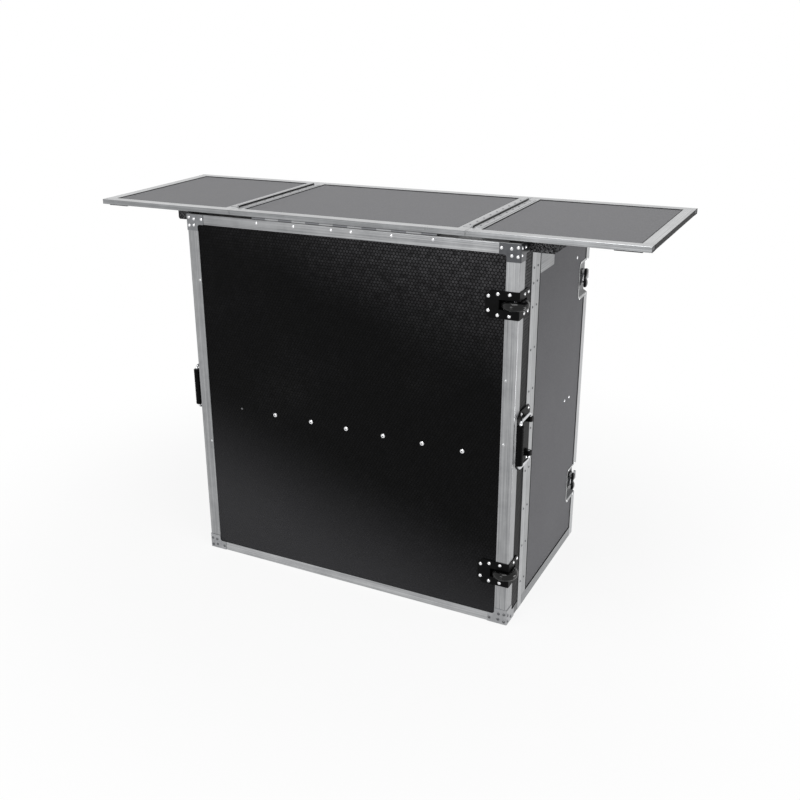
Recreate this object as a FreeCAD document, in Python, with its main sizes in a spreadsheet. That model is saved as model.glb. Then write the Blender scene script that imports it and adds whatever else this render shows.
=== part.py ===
import FreeCAD, Part
import math
import os
import Sketcher

# Portable booth: a shallow front tray, two doors that open into side walls,
# and a table of three boards that is hinged to the tray's top rail.
# Millimetres, +Z up. X runs along the front and Y towards the rear.
# Places are written from the middle of the tray's front face at floor level;
# the whole is then set back so that the origin is under the middle of its bounds.

sizes = {
    "tray_width": 1000.0,
    "tray_height": 1075.0,
    "tray_depth": 120.0,
    "case_board": 9.0,
    "trim_wall": 1.5,
    "trim_depth": 30.0,
    "trim_chamfer": 0.8,
    "edge_radius": 3.0,
    "rail_face": 36.0,
    "rail_drop": 28.0,
    "rail_return": 30.0,
    "batten_depth": 35.0,
    "batten_height": 25.0,
    "middle_batten_drop": 37.5,
    "corner_plate_wall": 1.5,
    "corner_plate_arm": 56.0,
    "corner_plate_drop": 46.0,
    "corner_plate_band": 28.0,
    "corner_plate_inset": 1.0,
    "corner_plate_fillet": 8.0,
    "knuckle_radius": 3.0,
    "knuckle_space": 0.4,
    "leaf_wall": 1.0,
    "leaf_width": 25.0,
    "hinge_pin_radius": 1.5,
    "running_gap": 0.05,
    "sliding_gap": 0.3,
    "door_hinge_margin": 30.5,
    "door_gap": 1.0,
    "door_meeting_gap": 2.0,
    "table_thickness": 14.0,
    "table_depth": 509.0,
    "table_setback": 1.0,
    "centre_width": 705.0,
    "wing_width": 456.0,
    "seam_gap": 1.0,
    "table_hinge_margin": 74.5,
    "wing_hinge_margin": 46.5,
    "wing_block_gap": 3.0,
    "wing_block_width": 68.0,
    "wing_block_length": 140.0,
    "wing_block_height": 36.0,
    "wing_block_start": 53.0,
    "wing_block_chamfer": 4.0,
    "wing_pad_length": 66.0,
    "wing_pad_width": 16.0,
    "wing_pad_height": 2.5,
    "wing_pad_inset": 22.0,
    "wing_pad_margin": 4.0,
    "rest_pad_length": 40.0,
    "rest_pad_margin": 40.0,
    "wheel_radius": 36.0,
    "wheel_width": 24.0,
    "wheel_chamfer": 7.0,
    "wheel_inset": 15.0,
    "wheel_side_gap": 1.0,
    "wheel_rise": 157.0,
    "wheel_turning_gap": 1.0,
    "axle_radius": 4.0,
    "ear_wall": 3.0,
    "ear_corner": 9.0,
    "bracket_wall": 2.0,
    "bracket_front_arm": 88.0,
    "bracket_side_arm": 75.0,
    "bracket_height": 72.0,
    "bracket_chamfer": 14.0,
    "wheel_notch_gap": 1.0,
    "handle_rise": 6.5,
    "handle_pivot": 84.0,
    "handle_half_span": 66.0,
    "handle_reach": 74.0,
    "handle_bend": 7.0,
    "handle_rod_radius": 4.0,
    "handle_tail_gap": 3.0,
    "handle_plate_wall": 2.0,
    "handle_plate_start": 24.0,
    "handle_plate_width": 92.0,
    "handle_plate_height": 164.0,
    "handle_plate_chamfer": 12.0,
    "grip_radius": 10.0,
    "grip_length": 112.0,
    "grip_gap": 2.0,
    "grip_chamfer": 3.0,
    "saddle_length": 14.0,
    "saddle_base": 26.0,
    "saddle_foot": 3.0,
    "saddle_boss": 14.0,
    "saddle_chamfer": 4.0,
    "dish_length": 84.0,
    "dish_height": 101.0,
    "dish_depth": 10.5,
    "dish_wall": 1.2,
    "dish_rim": 7.0,
    "dish_slant": 7.0,
    "latch_top_drop": 216.0,
    "latch_foot_rise": 199.0,
    "latch_bed_length": 54.0,
    "latch_bed_width": 44.0,
    "latch_bed_height": 5.5,
    "latch_bed_margin": 8.0,
    "spindle_radius": 5.0,
    "spindle_setback": 36.0,
    "spindle_rise": 0.5,
    "butterfly_disc_radius": 15.0,
    "butterfly_disc_wall": 3.0,
    "butterfly_length": 56.0,
    "butterfly_width": 17.0,
    "butterfly_waist": 9.0,
    "butterfly_height": 10.0,
    "butterfly_bevel": 3.0,
    "hook_wall": 2.5,
    "hook_width": 26.0,
    "hook_reach": 18.0,
    "hook_tail": 14.0,
    "hook_travel": 6.0,
    "hook_lip_gap": 1.6,
    "catch_setback": 4.0,
    "catch_wall": 2.5,
    "catch_width": 34.0,
}

# Knuckles along each hinge, always an odd count
knuckles_per_door_hinge = 17
knuckles_per_table_hinge = 13
knuckles_per_wing_hinge = 11

# Flats round the pieces that are drawn as regular outlines
knuckle_flats = 8
rod_flats = 12
sleeve_flats = 16
wheel_flats = 48

doc = FreeCAD.newDocument("booth")
sheet = doc.addObject("Spreadsheet::Sheet", "dims")
for row, (alias, number) in enumerate(sizes.items(), start=1):
    sheet.set(f"A{row}", str(number))
    sheet.setAlias(f"A{row}", alias)
doc.recompute()

nodes = {}


class Size:
    # A length worked out from cells of the sheet: its value, and the text that binds it
    def __init__(self, value, text):
        self.value = value
        self.text = text

    def __add__(self, other):
        other = as_size(other)
        return Size(self.value + other.value, f"({self.text} + {other.text})")

    def __sub__(self, other):
        other = as_size(other)
        return Size(self.value - other.value, f"({self.text} - {other.text})")

    def __mul__(self, other):
        other = as_size(other)
        return Size(self.value * other.value, f"({self.text} * {other.text})")

    def __truediv__(self, other):
        other = as_size(other)
        return Size(self.value / other.value, f"({self.text} / {other.text})")

    def __neg__(self):
        return Size(-self.value, f"(-1 * {self.text})")


class Dims:
    # Gives each cell of the sheet by its alias
    def __getattr__(self, name):
        return Size(sizes[name], f"dims.{name}")


def as_size(value):
    if isinstance(value, Size):
        return value
    return Size(float(value), f"({float(value)})")


d = Dims()
zero = as_size(0)
touch = 0.001
right, left = (1, 0, 0), (-1, 0, 0)
rear, front = (0, 1, 0), (0, -1, 0)
up, down = (0, 0, 1), (0, 0, -1)
up_vector = FreeCAD.Vector(*up)


def bind(target, prop, value):
    target.setExpression(prop, as_size(value).text)


def place(piece, spot, x_to=right, y_to=rear):
    # Stands a piece at a spot, with its own X and Y axes turned to the given directions
    x_dir = FreeCAD.Vector(*x_to)
    y_dir = FreeCAD.Vector(*y_to)
    turn = FreeCAD.Rotation(x_dir, y_dir, x_dir.cross(y_dir), "XYZ")
    x, y, z = [as_size(value) for value in spot]
    y = y - middle_of_bounds
    piece.Placement = FreeCAD.Placement(FreeCAD.Vector(x.value, y.value, z.value), turn)
    for axis, value in zip("xyz", (x, y, z)):
        bind(piece, f"Placement.Base.{axis}", value)
    return piece


def node(name, piece):
    piece.Label = name
    nodes[name] = piece
    return piece


def group(name, pieces):
    compound = doc.addObject("Part::Compound", name)
    compound.Links = pieces
    return node(name, compound)


def box(name, low, high):
    block = doc.addObject("Part::Box", name)
    spans = [as_size(b) - as_size(a) for a, b in zip(low, high)]
    for prop, span in zip(("Length", "Width", "Height"), spans):
        bind(block, prop, span)
    return place(block, low)


def rod(name, radius, length, spot, x_to, y_to):
    cylinder = doc.addObject("Part::Cylinder", name)
    bind(cylinder, "Radius", radius)
    bind(cylinder, "Height", length)
    return place(cylinder, spot, x_to, y_to)


def cut(name, base, tools):
    result = base
    for count, tool in enumerate(tools):
        step = doc.addObject("Part::Cut", f"{name}_cut{count}")
        step.Base = result
        step.Tool = tool
        result = step
    return result


def new_body(name):
    return doc.addObject("PartDesign::Body", name)


def sketch_on(body, role, level=None):
    sketch = body.newObject("Sketcher::SketchObject", f"{body.Name}_sketch")
    plane = [item for item in body.Origin.OriginFeatures if item.Role == role][0]
    sketch.AttachmentSupport = [(plane, "")]
    sketch.MapMode = "FlatFace"
    if level is not None:
        bind(sketch, "AttachmentOffset.Base.z", level)
    return sketch


def dimension(sketch, kind, elements, value):
    # Adds a dimension to a sketch and ties it to the sheet
    value = as_size(value)
    index = sketch.addConstraint(Sketcher.Constraint(kind, *elements, value.value))
    sketch.renameConstraint(index, f"size{index}")
    bind(sketch, f"Constraints.size{index}", value)


def polyline(sketch, corners, closed):
    # Straight edges through corners that are dimensioned from the sketch's origin
    first = sketch.GeometryCount
    corners = [(as_size(x), as_size(y)) for x, y in corners]
    spots = [FreeCAD.Vector(x.value, y.value, 0) for x, y in corners]
    ends = spots[1:] + spots[:1] if closed else spots[1:]
    for start, end in zip(spots, ends):
        sketch.addGeometry(Part.LineSegment(start, end))
    count = len(ends)
    for index in range(count if closed else count - 1):
        joined = (first + index, 2, first + (index + 1) % count, 1)
        sketch.addConstraint(Sketcher.Constraint("Coincident", *joined))
    for index, (x, y) in enumerate(corners):
        point = (first + index, 1) if index < count else (first + index - 1, 2)
        dimension(sketch, "DistanceX", (-1, 1, *point), x)
        dimension(sketch, "DistanceY", (-1, 1, *point), y)


def outline(sketch, corners):
    polyline(sketch, corners, closed=True)


def rectangle(sketch, x_low, x_high, y_low, y_high):
    outline(sketch, [(x_low, y_low), (x_high, y_low), (x_high, y_high), (x_low, y_high)])


def circle(sketch, radius, x=0, y=0):
    radius, x, y = as_size(radius), as_size(x), as_size(y)
    ring = Part.Circle(FreeCAD.Vector(x.value, y.value, 0), up_vector, radius.value)
    index = sketch.addGeometry(ring)
    dimension(sketch, "Radius", (index,), radius)
    dimension(sketch, "DistanceX", (-1, 1, index, 3), x)
    dimension(sketch, "DistanceY", (-1, 1, index, 3), y)


def flats(sketch, radius, count):
    # Regular outline about the origin with its corners on a circle
    turns = [math.tau * index / count for index in range(count)]
    outline(sketch, [(radius * math.cos(turn), radius * math.sin(turn)) for turn in turns])


def bore(sketch, radius, count):
    # Regular outline about the origin with its flats on a circle, for what turns inside it
    flats(sketch, radius / math.cos(math.pi / count), count)


def extrude(body, kind, sketch, length, backwards=False, sides="One side"):
    feature = body.newObject(f"PartDesign::{kind}", f"{body.Name}_{kind.lower()}")
    feature.Profile = sketch
    bind(feature, "Length", length)
    feature.Reversed = backwards
    feature.SideType = sides
    return feature


def pad(body, sketch, length, backwards=False):
    return extrude(body, "Pad", sketch, length, backwards)


def pocket(body, sketch, length):
    # Cuts to both sides of the sketch; a pocket has to take material away
    doc.recompute()
    before = body.Shape.Volume
    feature = extrude(body, "Pocket", sketch, length, sides="Symmetric")
    doc.recompute()
    if body.Shape.Volume >= before:
        raise RuntimeError(f"{feature.Name} cuts nothing")


def sunk_wedge(body, kind, level, depth, rim, floor):
    # Block with slanted walls below a level; rim and floor give its low and high X, low and high Y
    block = body.newObject(f"PartDesign::{kind}Wedge", f"{body.Name}_{kind.lower()}")
    turn = FreeCAD.Rotation(FreeCAD.Vector(*right), FreeCAD.Vector(*down), FreeCAD.Vector(*rear), "XYZ")
    block.Placement = FreeCAD.Placement(FreeCAD.Vector(0, 0, level.value), turn)
    bind(block, "Placement.Base.z", level)
    spans = {"Ymin": zero, "Ymax": depth}
    spans.update(zip(("Xmin", "Xmax", "Zmin", "Zmax"), rim))
    spans.update(zip(("X2min", "X2max", "Z2min", "Z2max"), floor))
    for prop, value in spans.items():
        bind(block, prop, value)


def edges_along(body, axis, spots):
    # Names of the edges along one of the body's own axes, at the given spots across it
    doc.recompute()
    across = [index for index in range(3) if index != "xyz".index(axis)]
    names = []
    for number, edge in enumerate(body.Tip.Shape.Edges, start=1):
        ends = [tuple(vertex.Point) for vertex in edge.Vertexes]
        for spot in spots:
            places = [as_size(value).value for value in spot]
            misses = [abs(end[index] - place) for end in ends for index, place in zip(across, places)]
            if len(ends) == 2 and max(misses) < touch:
                names.append(f"Edge{number}")
    return names


def edges_round(body, radius):
    # Names of the edges between corners on a circle about the body's own Z axis, at both its ends
    doc.recompute()
    names = []
    for number, edge in enumerate(body.Tip.Shape.Edges, start=1):
        ends = [vertex.Point for vertex in edge.Vertexes]
        misses = [abs(math.hypot(end.x, end.y) - radius.value) for end in ends]
        if max(misses) < touch and abs(ends[0].z - ends[-1].z) < touch:
            names.append(f"Edge{number}")
    return names


def dress(body, kind, prop, amount, names):
    base = body.Tip
    feature = body.newObject(f"PartDesign::{kind}", f"{body.Name}_{kind.lower()}")
    feature.Base = (base, names)
    bind(feature, prop, amount)


def fillet(body, radius, axis, spots):
    dress(body, "Fillet", "Radius", radius, edges_along(body, axis, spots))


def chamfer(body, width, axis, spots):
    dress(body, "Chamfer", "Size", width, edges_along(body, axis, spots))


def bevelled_bar(name, radius, flat_count, hole, length, bevel):
    # Bar in flats with a round hole and bevelled ends, drawn along Z
    body = new_body(name)
    profile = sketch_on(body, "XY_Plane")
    flats(profile, radius, flat_count)
    circle(profile, hole)
    pad(body, profile, length)
    dress(body, "Chamfer", "Size", bevel, edges_round(body, radius))
    return body


# Aluminium sections

def angle(name, arm_x, arm_y, length):
    # Angle section with a rounded outer corner at its own origin, drawn along Z
    body = new_body(name)
    wall = d.trim_wall
    profile = sketch_on(body, "XY_Plane")
    outline(profile, [(zero, zero), (arm_x, zero), (arm_x, wall), (wall, wall), (wall, arm_y), (zero, arm_y)])
    pad(body, profile, length)
    fillet(body, d.edge_radius, "z", [(zero, zero)])
    return body


def channel(name, thickness, length):
    # Channel section over a board's edge: web along X, flanges along Y, drawn along Z
    body = new_body(name)
    wall = d.trim_wall
    deep = d.trim_depth
    profile = sketch_on(body, "XY_Plane")
    outline(profile, [
        (zero, zero), (thickness, zero), (thickness, deep), (thickness - wall, deep),
        (thickness - wall, wall), (wall, wall), (wall, deep), (zero, deep),
    ])
    pad(body, profile, length)
    chamfer(body, d.trim_chamfer, "z", [(zero, zero), (thickness, zero)])
    return body


# Piano hinges: the pin runs along Z through the origin, and the leaf lies along Y

def knuckle_profile(sketch):
    # A leaf rolled round its pin in short flats, three quarters of a turn with the corners on a circle
    radius = d.knuckle_radius
    inner = radius - d.leaf_wall
    top = radius + d.knuckle_space
    corners = [(radius, top), (inner, top), (inner, radius)]
    for count in range(knuckle_flats // 4, knuckle_flats + 1):
        turn = math.tau * count / knuckle_flats
        corners.append((radius * math.cos(turn), radius * math.sin(turn)))
    outline(sketch, corners)
    bore(sketch, d.hinge_pin_radius + d.running_gap, knuckle_flats)


def hinge_leaf(name, length, count, first):
    # Leaf whose knuckles take every second place from the first one
    body = new_body(name)
    pitch = length / count
    strip = sketch_on(body, "XY_Plane")
    radius = d.knuckle_radius
    rectangle(strip, radius - d.leaf_wall, radius, radius + d.knuckle_space, d.leaf_width)
    pad(body, strip, length)
    roll = sketch_on(body, "XY_Plane", pitch * first + d.knuckle_space / 2)
    knuckle_profile(roll)
    knuckle = pad(body, roll, pitch - d.knuckle_space)
    pattern = body.newObject("PartDesign::LinearPattern", f"{name}_knuckles")
    pattern.Originals = [knuckle]
    pattern.Direction = (roll, ["N_Axis"])
    pattern.Mode = "Spacing"
    bind(pattern, "Offset", pitch * 2)
    pattern.Occurrences = (count - first + 1) // 2
    body.Tip = pattern
    return body


# Lines that several pieces share

half_width = d.tray_width / 2
wall_stack = d.case_board + d.trim_wall * 2
inner_face = half_width - wall_stack
board_face = half_width - d.trim_wall
board_back = board_face - d.case_board
panel_back = d.trim_wall + d.case_board
trim_start = d.tray_depth - d.trim_depth
flat_top = d.tray_height - d.trim_wall

door_axis_x = inner_face - d.knuckle_radius
door_axis_y = d.tray_depth + d.door_gap / 2
door_start = d.tray_depth + d.door_gap
door_end = door_axis_y + door_axis_x - d.door_meeting_gap / 2
door_hinge_length = d.tray_height - d.door_hinge_margin * 2
middle_of_bounds = (door_end + d.hook_reach + d.wheel_inset - d.wheel_radius) / 2

table_under = d.tray_height + d.knuckle_radius * 2
table_top = table_under + d.table_thickness
table_rear = d.table_setback + d.table_depth
table_axis_y = d.knuckle_radius
table_axis_z = d.tray_height + d.knuckle_radius
wing_axis_z = table_top + d.knuckle_radius
seam = (d.centre_width + d.seam_gap) / 2
wing_inner = seam + d.seam_gap / 2
wing_outer = wing_inner + d.wing_width

wheel_x = half_width - d.wheel_inset
wheel_slot = d.wheel_inset + d.wheel_radius + d.wheel_turning_gap
wheel_levels = {"upper": d.tray_height - d.wheel_rise, "lower": d.wheel_rise}
latch_levels = {"upper": d.tray_height - d.latch_top_drop, "lower": d.latch_foot_rise}
handle_standoff = d.handle_plate_wall + d.grip_gap + d.grip_radius
handle_tail = d.saddle_length + d.handle_tail_gap + d.handle_bend


# Front tray

def wheel_notches(name):
    # Room in the tray's right front corner for the wheels and the ears beside them
    reach = wheel_slot + d.wheel_notch_gap
    half = d.wheel_width / 2 + d.wheel_side_gap + d.ear_wall + d.wheel_notch_gap
    tools = []
    for level_name, level in wheel_levels.items():
        low = (half_width - reach, -d.wheel_notch_gap, level - half)
        high = (half_width + d.wheel_notch_gap, reach, level + half)
        tools.append(box(f"{name}_notch_{level_name}", low, high))
    return tools


def make_tray_boards():
    low = (-board_face, d.trim_wall, d.trim_wall)
    panel = box("front_panel_blank", low, (board_face, panel_back, flat_top))
    node("front_panel", cut("front_panel", panel, wheel_notches("front_panel")))
    low = (-board_face, panel_back, d.trim_wall)
    high = (-board_back, d.tray_depth - d.trim_wall, flat_top)
    node("side_wall_left", box("side_wall_left", low, high))
    low = (board_back, panel_back, d.trim_wall)
    high = (board_face, d.tray_depth - d.trim_wall, flat_top)
    wall = box("side_wall_right_blank", low, high)
    node("side_wall_right", cut("side_wall_right", wall, wheel_notches("side_wall_right")))
    low = (-inner_face, panel_back, d.trim_wall)
    high = (inner_face, d.tray_depth - d.trim_wall, panel_back)
    node("floor_board", box("floor_board", low, high))
    batten_back = panel_back + d.batten_depth
    low = (-board_back, panel_back, flat_top - d.batten_height)
    node("hinge_batten", box("hinge_batten", low, (board_back, batten_back, flat_top)))
    half = d.batten_height / 2
    level = d.tray_height / 2 - d.middle_batten_drop
    low = (-board_back, panel_back, level - half)
    high = (board_back, batten_back, level + half)
    node("middle_batten", box("middle_batten", low, high))


def make_tray_rails():
    rail_inner = half_width - d.rail_face
    upright = angle("front_rail_left", d.rail_face, d.rail_face, d.tray_height)
    node("front_rail_left", place(upright, (-half_width, 0, 0)))
    upright = angle("front_rail_right_blank", d.rail_face, d.rail_face, d.tray_height)
    place(upright, (half_width, 0, 0), rear, left)
    node("front_rail_right", cut("front_rail_right", upright, wheel_notches("front_rail_right")))
    top = angle("top_rail", d.rail_return, d.rail_drop, rail_inner * 2)
    node("top_rail", place(top, (rail_inner, 0, d.tray_height), rear, down))
    bottom = angle("bottom_rail", d.rail_drop, d.rail_return, rail_inner * 2)
    node("bottom_rail", place(bottom, (rail_inner, 0, 0), up, rear))
    sill_length = trim_start - d.rail_face
    sill_left = angle("side_sill_left", wall_stack, d.rail_drop, sill_length)
    place(sill_left, (-half_width, trim_start, 0), right, up)
    sill_right = angle("side_sill_right", d.rail_drop, wall_stack, sill_length)
    place(sill_right, (half_width, trim_start, 0), up, left)
    group("side_sills", [sill_left, sill_right])


def make_tray_trims():
    trims = []
    for side, edge in (("left", -inner_face), ("right", half_width)):
        trim = channel(f"rear_trim_{side}", wall_stack, d.tray_height)
        trims.append(place(trim, (edge, d.tray_depth, 0), left, front))
    trim = channel("floor_trim", wall_stack, inner_face * 2)
    trims.append(place(trim, (-inner_face, d.tray_depth, 0), up, front))
    group("tray_rear_trims", trims)


def corner_wrap(name, arm_x, arm_y, height, wall):
    # Plate folded round an upright edge at the origin, with arms along X and Y
    body = new_body(name)
    profile = sketch_on(body, "XY_Plane")
    outline(profile, [
        (-wall, -wall), (arm_x, -wall), (arm_x, zero), (zero, zero), (zero, arm_y), (-wall, arm_y),
    ])
    pad(body, profile, height)
    fillet(body, d.edge_radius, "z", [(-wall, -wall)])
    return body


def corner_plate(name):
    # Each arm steps back to the rail's width below its band, with a round inner corner
    wall, arm = d.corner_plate_wall, d.corner_plate_arm
    body = corner_wrap(name, arm, arm, d.corner_plate_drop, wall)
    for role in ("XZ_Plane", "YZ_Plane"):
        step = sketch_on(body, role)
        rectangle(step, d.rail_face, arm * 2, d.corner_plate_band, d.corner_plate_drop * 2)
        pocket(body, step, wall * 4)
    for axis in ("x", "y"):
        fillet(body, d.corner_plate_fillet, axis, [(d.rail_face, d.corner_plate_band)])
    return body


def make_corner_plates():
    top = d.tray_height - d.corner_plate_inset
    foot = d.corner_plate_inset
    group("corner_plates", [
        place(corner_plate("corner_plate_bottom_left"), (-half_width, 0, foot)),
        place(corner_plate("corner_plate_bottom_right"), (half_width, 0, foot), rear, left),
        place(corner_plate("corner_plate_top_left"), (-half_width, 0, top), rear, right),
        place(corner_plate("corner_plate_top_right"), (half_width, 0, top), left, rear),
    ])


# Corner wheels

def wheel_bracket(name):
    # Folded plate with a slot for the wheel and bevelled outer corners; a cup behind it holds the axle
    wall, tall, bevel = d.bracket_wall, d.bracket_height, d.bracket_chamfer
    body = corner_wrap(name, d.bracket_side_arm, d.bracket_front_arm, tall, wall)
    middle = tall / 2
    half_slot = d.wheel_width / 2 + d.wheel_side_gap
    for role, arm in (("XZ_Plane", d.bracket_side_arm), ("YZ_Plane", d.bracket_front_arm)):
        slot = sketch_on(body, role)
        rectangle(slot, -wall * 2, wheel_slot, middle - half_slot, middle + half_slot)
        pocket(body, slot, wall * 4)
        corners = sketch_on(body, role)
        outline(corners, [(arm - bevel, zero), (arm, zero), (arm, bevel)])
        outline(corners, [(arm, tall - bevel), (arm, tall), (arm - bevel, tall)])
        pocket(body, corners, wall * 4)
    far, near, deep = wheel_slot, d.ear_corner, panel_back
    back = far + wall
    for level in (middle - half_slot - d.ear_wall, middle + half_slot):
        ear = sketch_on(body, "XY_Plane", level)
        outline(ear, [
            (near, zero), (far, zero), (far, deep), (back, deep), (back, back), (deep, back), (deep, far),
            (zero, far), (zero, near),
        ])
        circle(ear, d.axle_radius + d.running_gap, d.wheel_inset, d.wheel_inset)
        pad(body, ear, d.ear_wall)
    cup = sketch_on(body, "XY_Plane", middle - half_slot)
    outline(cup, [(deep, far), (far, far), (far, deep), (back, deep), (back, back), (deep, back)])
    pad(body, cup, half_slot * 2)
    return body


def make_wheels():
    axles = []
    for level_name, level in wheel_levels.items():
        bracket = wheel_bracket(f"wheel_bracket_{level_name}")
        foot = level - d.bracket_height / 2
        node(bracket.Name, place(bracket, (half_width, 0, foot), rear, left))
        hub = d.axle_radius + d.running_gap
        name = f"wheel_{level_name}"
        roller = bevelled_bar(name, d.wheel_radius, wheel_flats, hub, d.wheel_width, d.wheel_chamfer)
        node(name, place(roller, (wheel_x, d.wheel_inset, level - d.wheel_width / 2)))
        span = d.wheel_width + d.wheel_side_gap * 2 + d.ear_wall * 2
        spot = (wheel_x, d.wheel_inset, level - span / 2)
        axles.append(rod(f"wheel_axle_{level_name}", d.axle_radius, span, spot, right, rear))
    group("wheel_axles", axles)


# Bail handles

def bail_path(sketch):
    # Tail, arm, grip, arm and tail in one line from a tail's inner end, with each corner cut by a short run
    reach, bend, tail = d.handle_reach, d.handle_bend, handle_tail
    low = -tail
    high = low + d.handle_half_span * 2
    spots = [
        (zero, zero), (zero, low + bend), (-bend, low), (bend - reach, low), (-reach, low + bend),
        (-reach, high - bend), (bend - reach, high), (-bend, high), (zero, high - bend), (zero, high - tail),
    ]
    polyline(sketch, spots, closed=False)


def bail(name):
    body = new_body(name)
    section = sketch_on(body, "XY_Plane")
    flats(section, d.handle_rod_radius, rod_flats)
    path = sketch_on(body, "YZ_Plane")
    bail_path(path)
    bent = body.newObject("PartDesign::AdditivePipe", f"{name}_bent")
    bent.Profile = section
    bent.Spine = path
    bent.Transition = "Right corner"
    return body


def saddle(name):
    # Foot and bevelled boss on the plate that hold one tail of the bail, drawn along Z
    body = new_body(name)
    foot, boss = d.saddle_base / 2, d.saddle_boss / 2
    axis = handle_standoff - d.handle_plate_wall
    crown = axis + boss
    profile = sketch_on(body, "XY_Plane")
    outline(profile, [
        (zero, -foot), (d.saddle_foot, -foot), (d.saddle_foot, -boss), (crown, -boss),
        (crown, boss), (d.saddle_foot, boss), (d.saddle_foot, foot), (zero, foot),
    ])
    circle(profile, d.handle_rod_radius + d.running_gap, axis)
    pad(body, profile, d.saddle_length)
    chamfer(body, d.saddle_chamfer, "z", [(crown, -boss), (crown, boss)])
    return body


def handle_plate(name):
    # Plate across the tray's side, with bevelled corners
    body = new_body(name)
    wide, tall = d.handle_plate_width, d.handle_plate_height
    profile = sketch_on(body, "YZ_Plane")
    rectangle(profile, zero, wide, zero, tall)
    pad(body, profile, d.handle_plate_wall)
    chamfer(body, d.handle_plate_chamfer, "x", [(zero, zero), (wide, zero), (wide, tall), (zero, tall)])
    return body


def make_handles():
    plates = []
    saddles = []
    level = d.tray_height / 2 + d.handle_rise
    low_tail = level - d.handle_half_span + handle_tail
    high_tail = level + d.handle_half_span - handle_tail
    grip_foot = level - d.grip_length / 2
    plate_foot = level - d.handle_plate_height / 2
    plate_end = d.handle_plate_start + d.handle_plate_width
    sides = (("left", left, front, -half_width), ("right", right, rear, half_width))
    for side, outward, along, face in sides:
        axis = face + handle_standoff * outward[0]
        bent = bail(f"handle_bail_{side}")
        node(bent.Name, place(bent, (axis, d.handle_pivot, low_tail)))
        hole = d.handle_rod_radius + d.running_gap
        name = f"handle_grip_{side}"
        sleeve = bevelled_bar(name, d.grip_radius, sleeve_flats, hole, d.grip_length, d.grip_chamfer)
        node(name, place(sleeve, (axis, d.handle_pivot - d.handle_reach, grip_foot)))
        plate = handle_plate(f"handle_plate_{side}")
        start = d.handle_plate_start if side == "right" else plate_end
        plates.append(place(plate, (face, start, plate_foot), outward, along))
        seat = face + d.handle_plate_wall * outward[0]
        for end, foot in (("low", low_tail - d.saddle_length), ("high", high_tail)):
            holder = saddle(f"handle_saddle_{side}_{end}")
            saddles.append(place(holder, (seat, d.handle_pivot, foot), outward, along))
    group("handle_plates", plates)
    group("handle_saddles", saddles)


# Doors

def dish_cutouts(name, side, margin):
    # Room at a door's rear edge for the latch dishes
    tools = []
    half = d.dish_height / 2 + margin
    inner, outer = inner_face - wall_stack, half_width + wall_stack
    low_x, high_x = (inner, outer) if side == "right" else (-outer, -inner)
    for level_name, level in latch_levels.items():
        low = (low_x, door_end - d.dish_length - margin, level - half)
        high = (high_x, door_end + d.trim_wall, level + half)
        tools.append(box(f"{name}_{level_name}", low, high))
    return tools


def make_door(side):
    edge_low = inner_face if side == "right" else -half_width
    edge_high = half_width if side == "right" else -inner_face
    board_low = board_back if side == "right" else -board_face
    board_high = board_face if side == "right" else -board_back
    name = f"door_panel_{side}"
    low = (board_low, door_start + d.trim_wall, d.trim_wall)
    board = box(f"{name}_blank", low, (board_high, door_end - d.trim_wall, flat_top))
    room = d.dish_wall + d.sliding_gap
    node(name, cut(name, board, dish_cutouts(f"{name}_room", side, room)))

    name = f"door_rear_trim_{side}"
    rear_trim = channel(f"{name}_blank", wall_stack, d.tray_height)
    place(rear_trim, (edge_high, door_end, 0), left, front)
    room = d.dish_rim + d.sliding_gap
    node(name, cut(name, rear_trim, dish_cutouts(f"{name}_room", side, room)))
    length = door_end - door_start - d.trim_depth * 2
    front_trim = channel(f"door_front_trim_{side}", wall_stack, d.tray_height)
    place(front_trim, (edge_low, door_start, 0), right, rear)
    top = channel(f"door_top_trim_{side}", wall_stack, length)
    place(top, (edge_low, door_start + d.trim_depth, d.tray_height), right, down)
    foot = channel(f"door_foot_trim_{side}", wall_stack, length)
    place(foot, (edge_low, door_end - d.trim_depth, 0), right, up)
    group(f"door_trims_{side}", [front_trim, top, foot])

    pads = []
    front_start = door_start + d.rest_pad_margin
    rear_start = table_rear - d.rest_pad_margin - d.rest_pad_length
    for end, start in (("front", front_start), ("rear", rear_start)):
        low = (edge_low, start, d.tray_height)
        high = (edge_high, start + d.rest_pad_length, table_under - d.sliding_gap)
        pads.append(box(f"rest_pad_{side}_{end}", low, high))
    group(f"rest_pads_{side}", pads)


def make_door_hinges():
    length, count = door_hinge_length, knuckles_per_door_hinge
    foot = d.door_hinge_margin
    head = foot + length
    tray_leaves = []
    pins = []
    for side, axis_x, facing in (("left", -door_axis_x, left), ("right", door_axis_x, right)):
        ends = (head, foot) if side == "left" else (foot, head)
        leaf = hinge_leaf(f"door_hinge_leaf_{side}", length, count, 1)
        node(leaf.Name, place(leaf, (axis_x, door_axis_y, ends[0]), facing, rear))
        fixed = hinge_leaf(f"tray_hinge_leaf_{side}", length, count, 0)
        tray_leaves.append(place(fixed, (axis_x, door_axis_y, ends[1]), facing, front))
        spot = (axis_x, door_axis_y, foot)
        pins.append(rod(f"door_hinge_pin_{side}", d.hinge_pin_radius, length, spot, right, rear))
    group("tray_hinge_leaves", tray_leaves)
    group("door_hinge_pins", pins)


# Latches: Z points out of the door, X towards its rear edge, and the origin is on that edge

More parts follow.
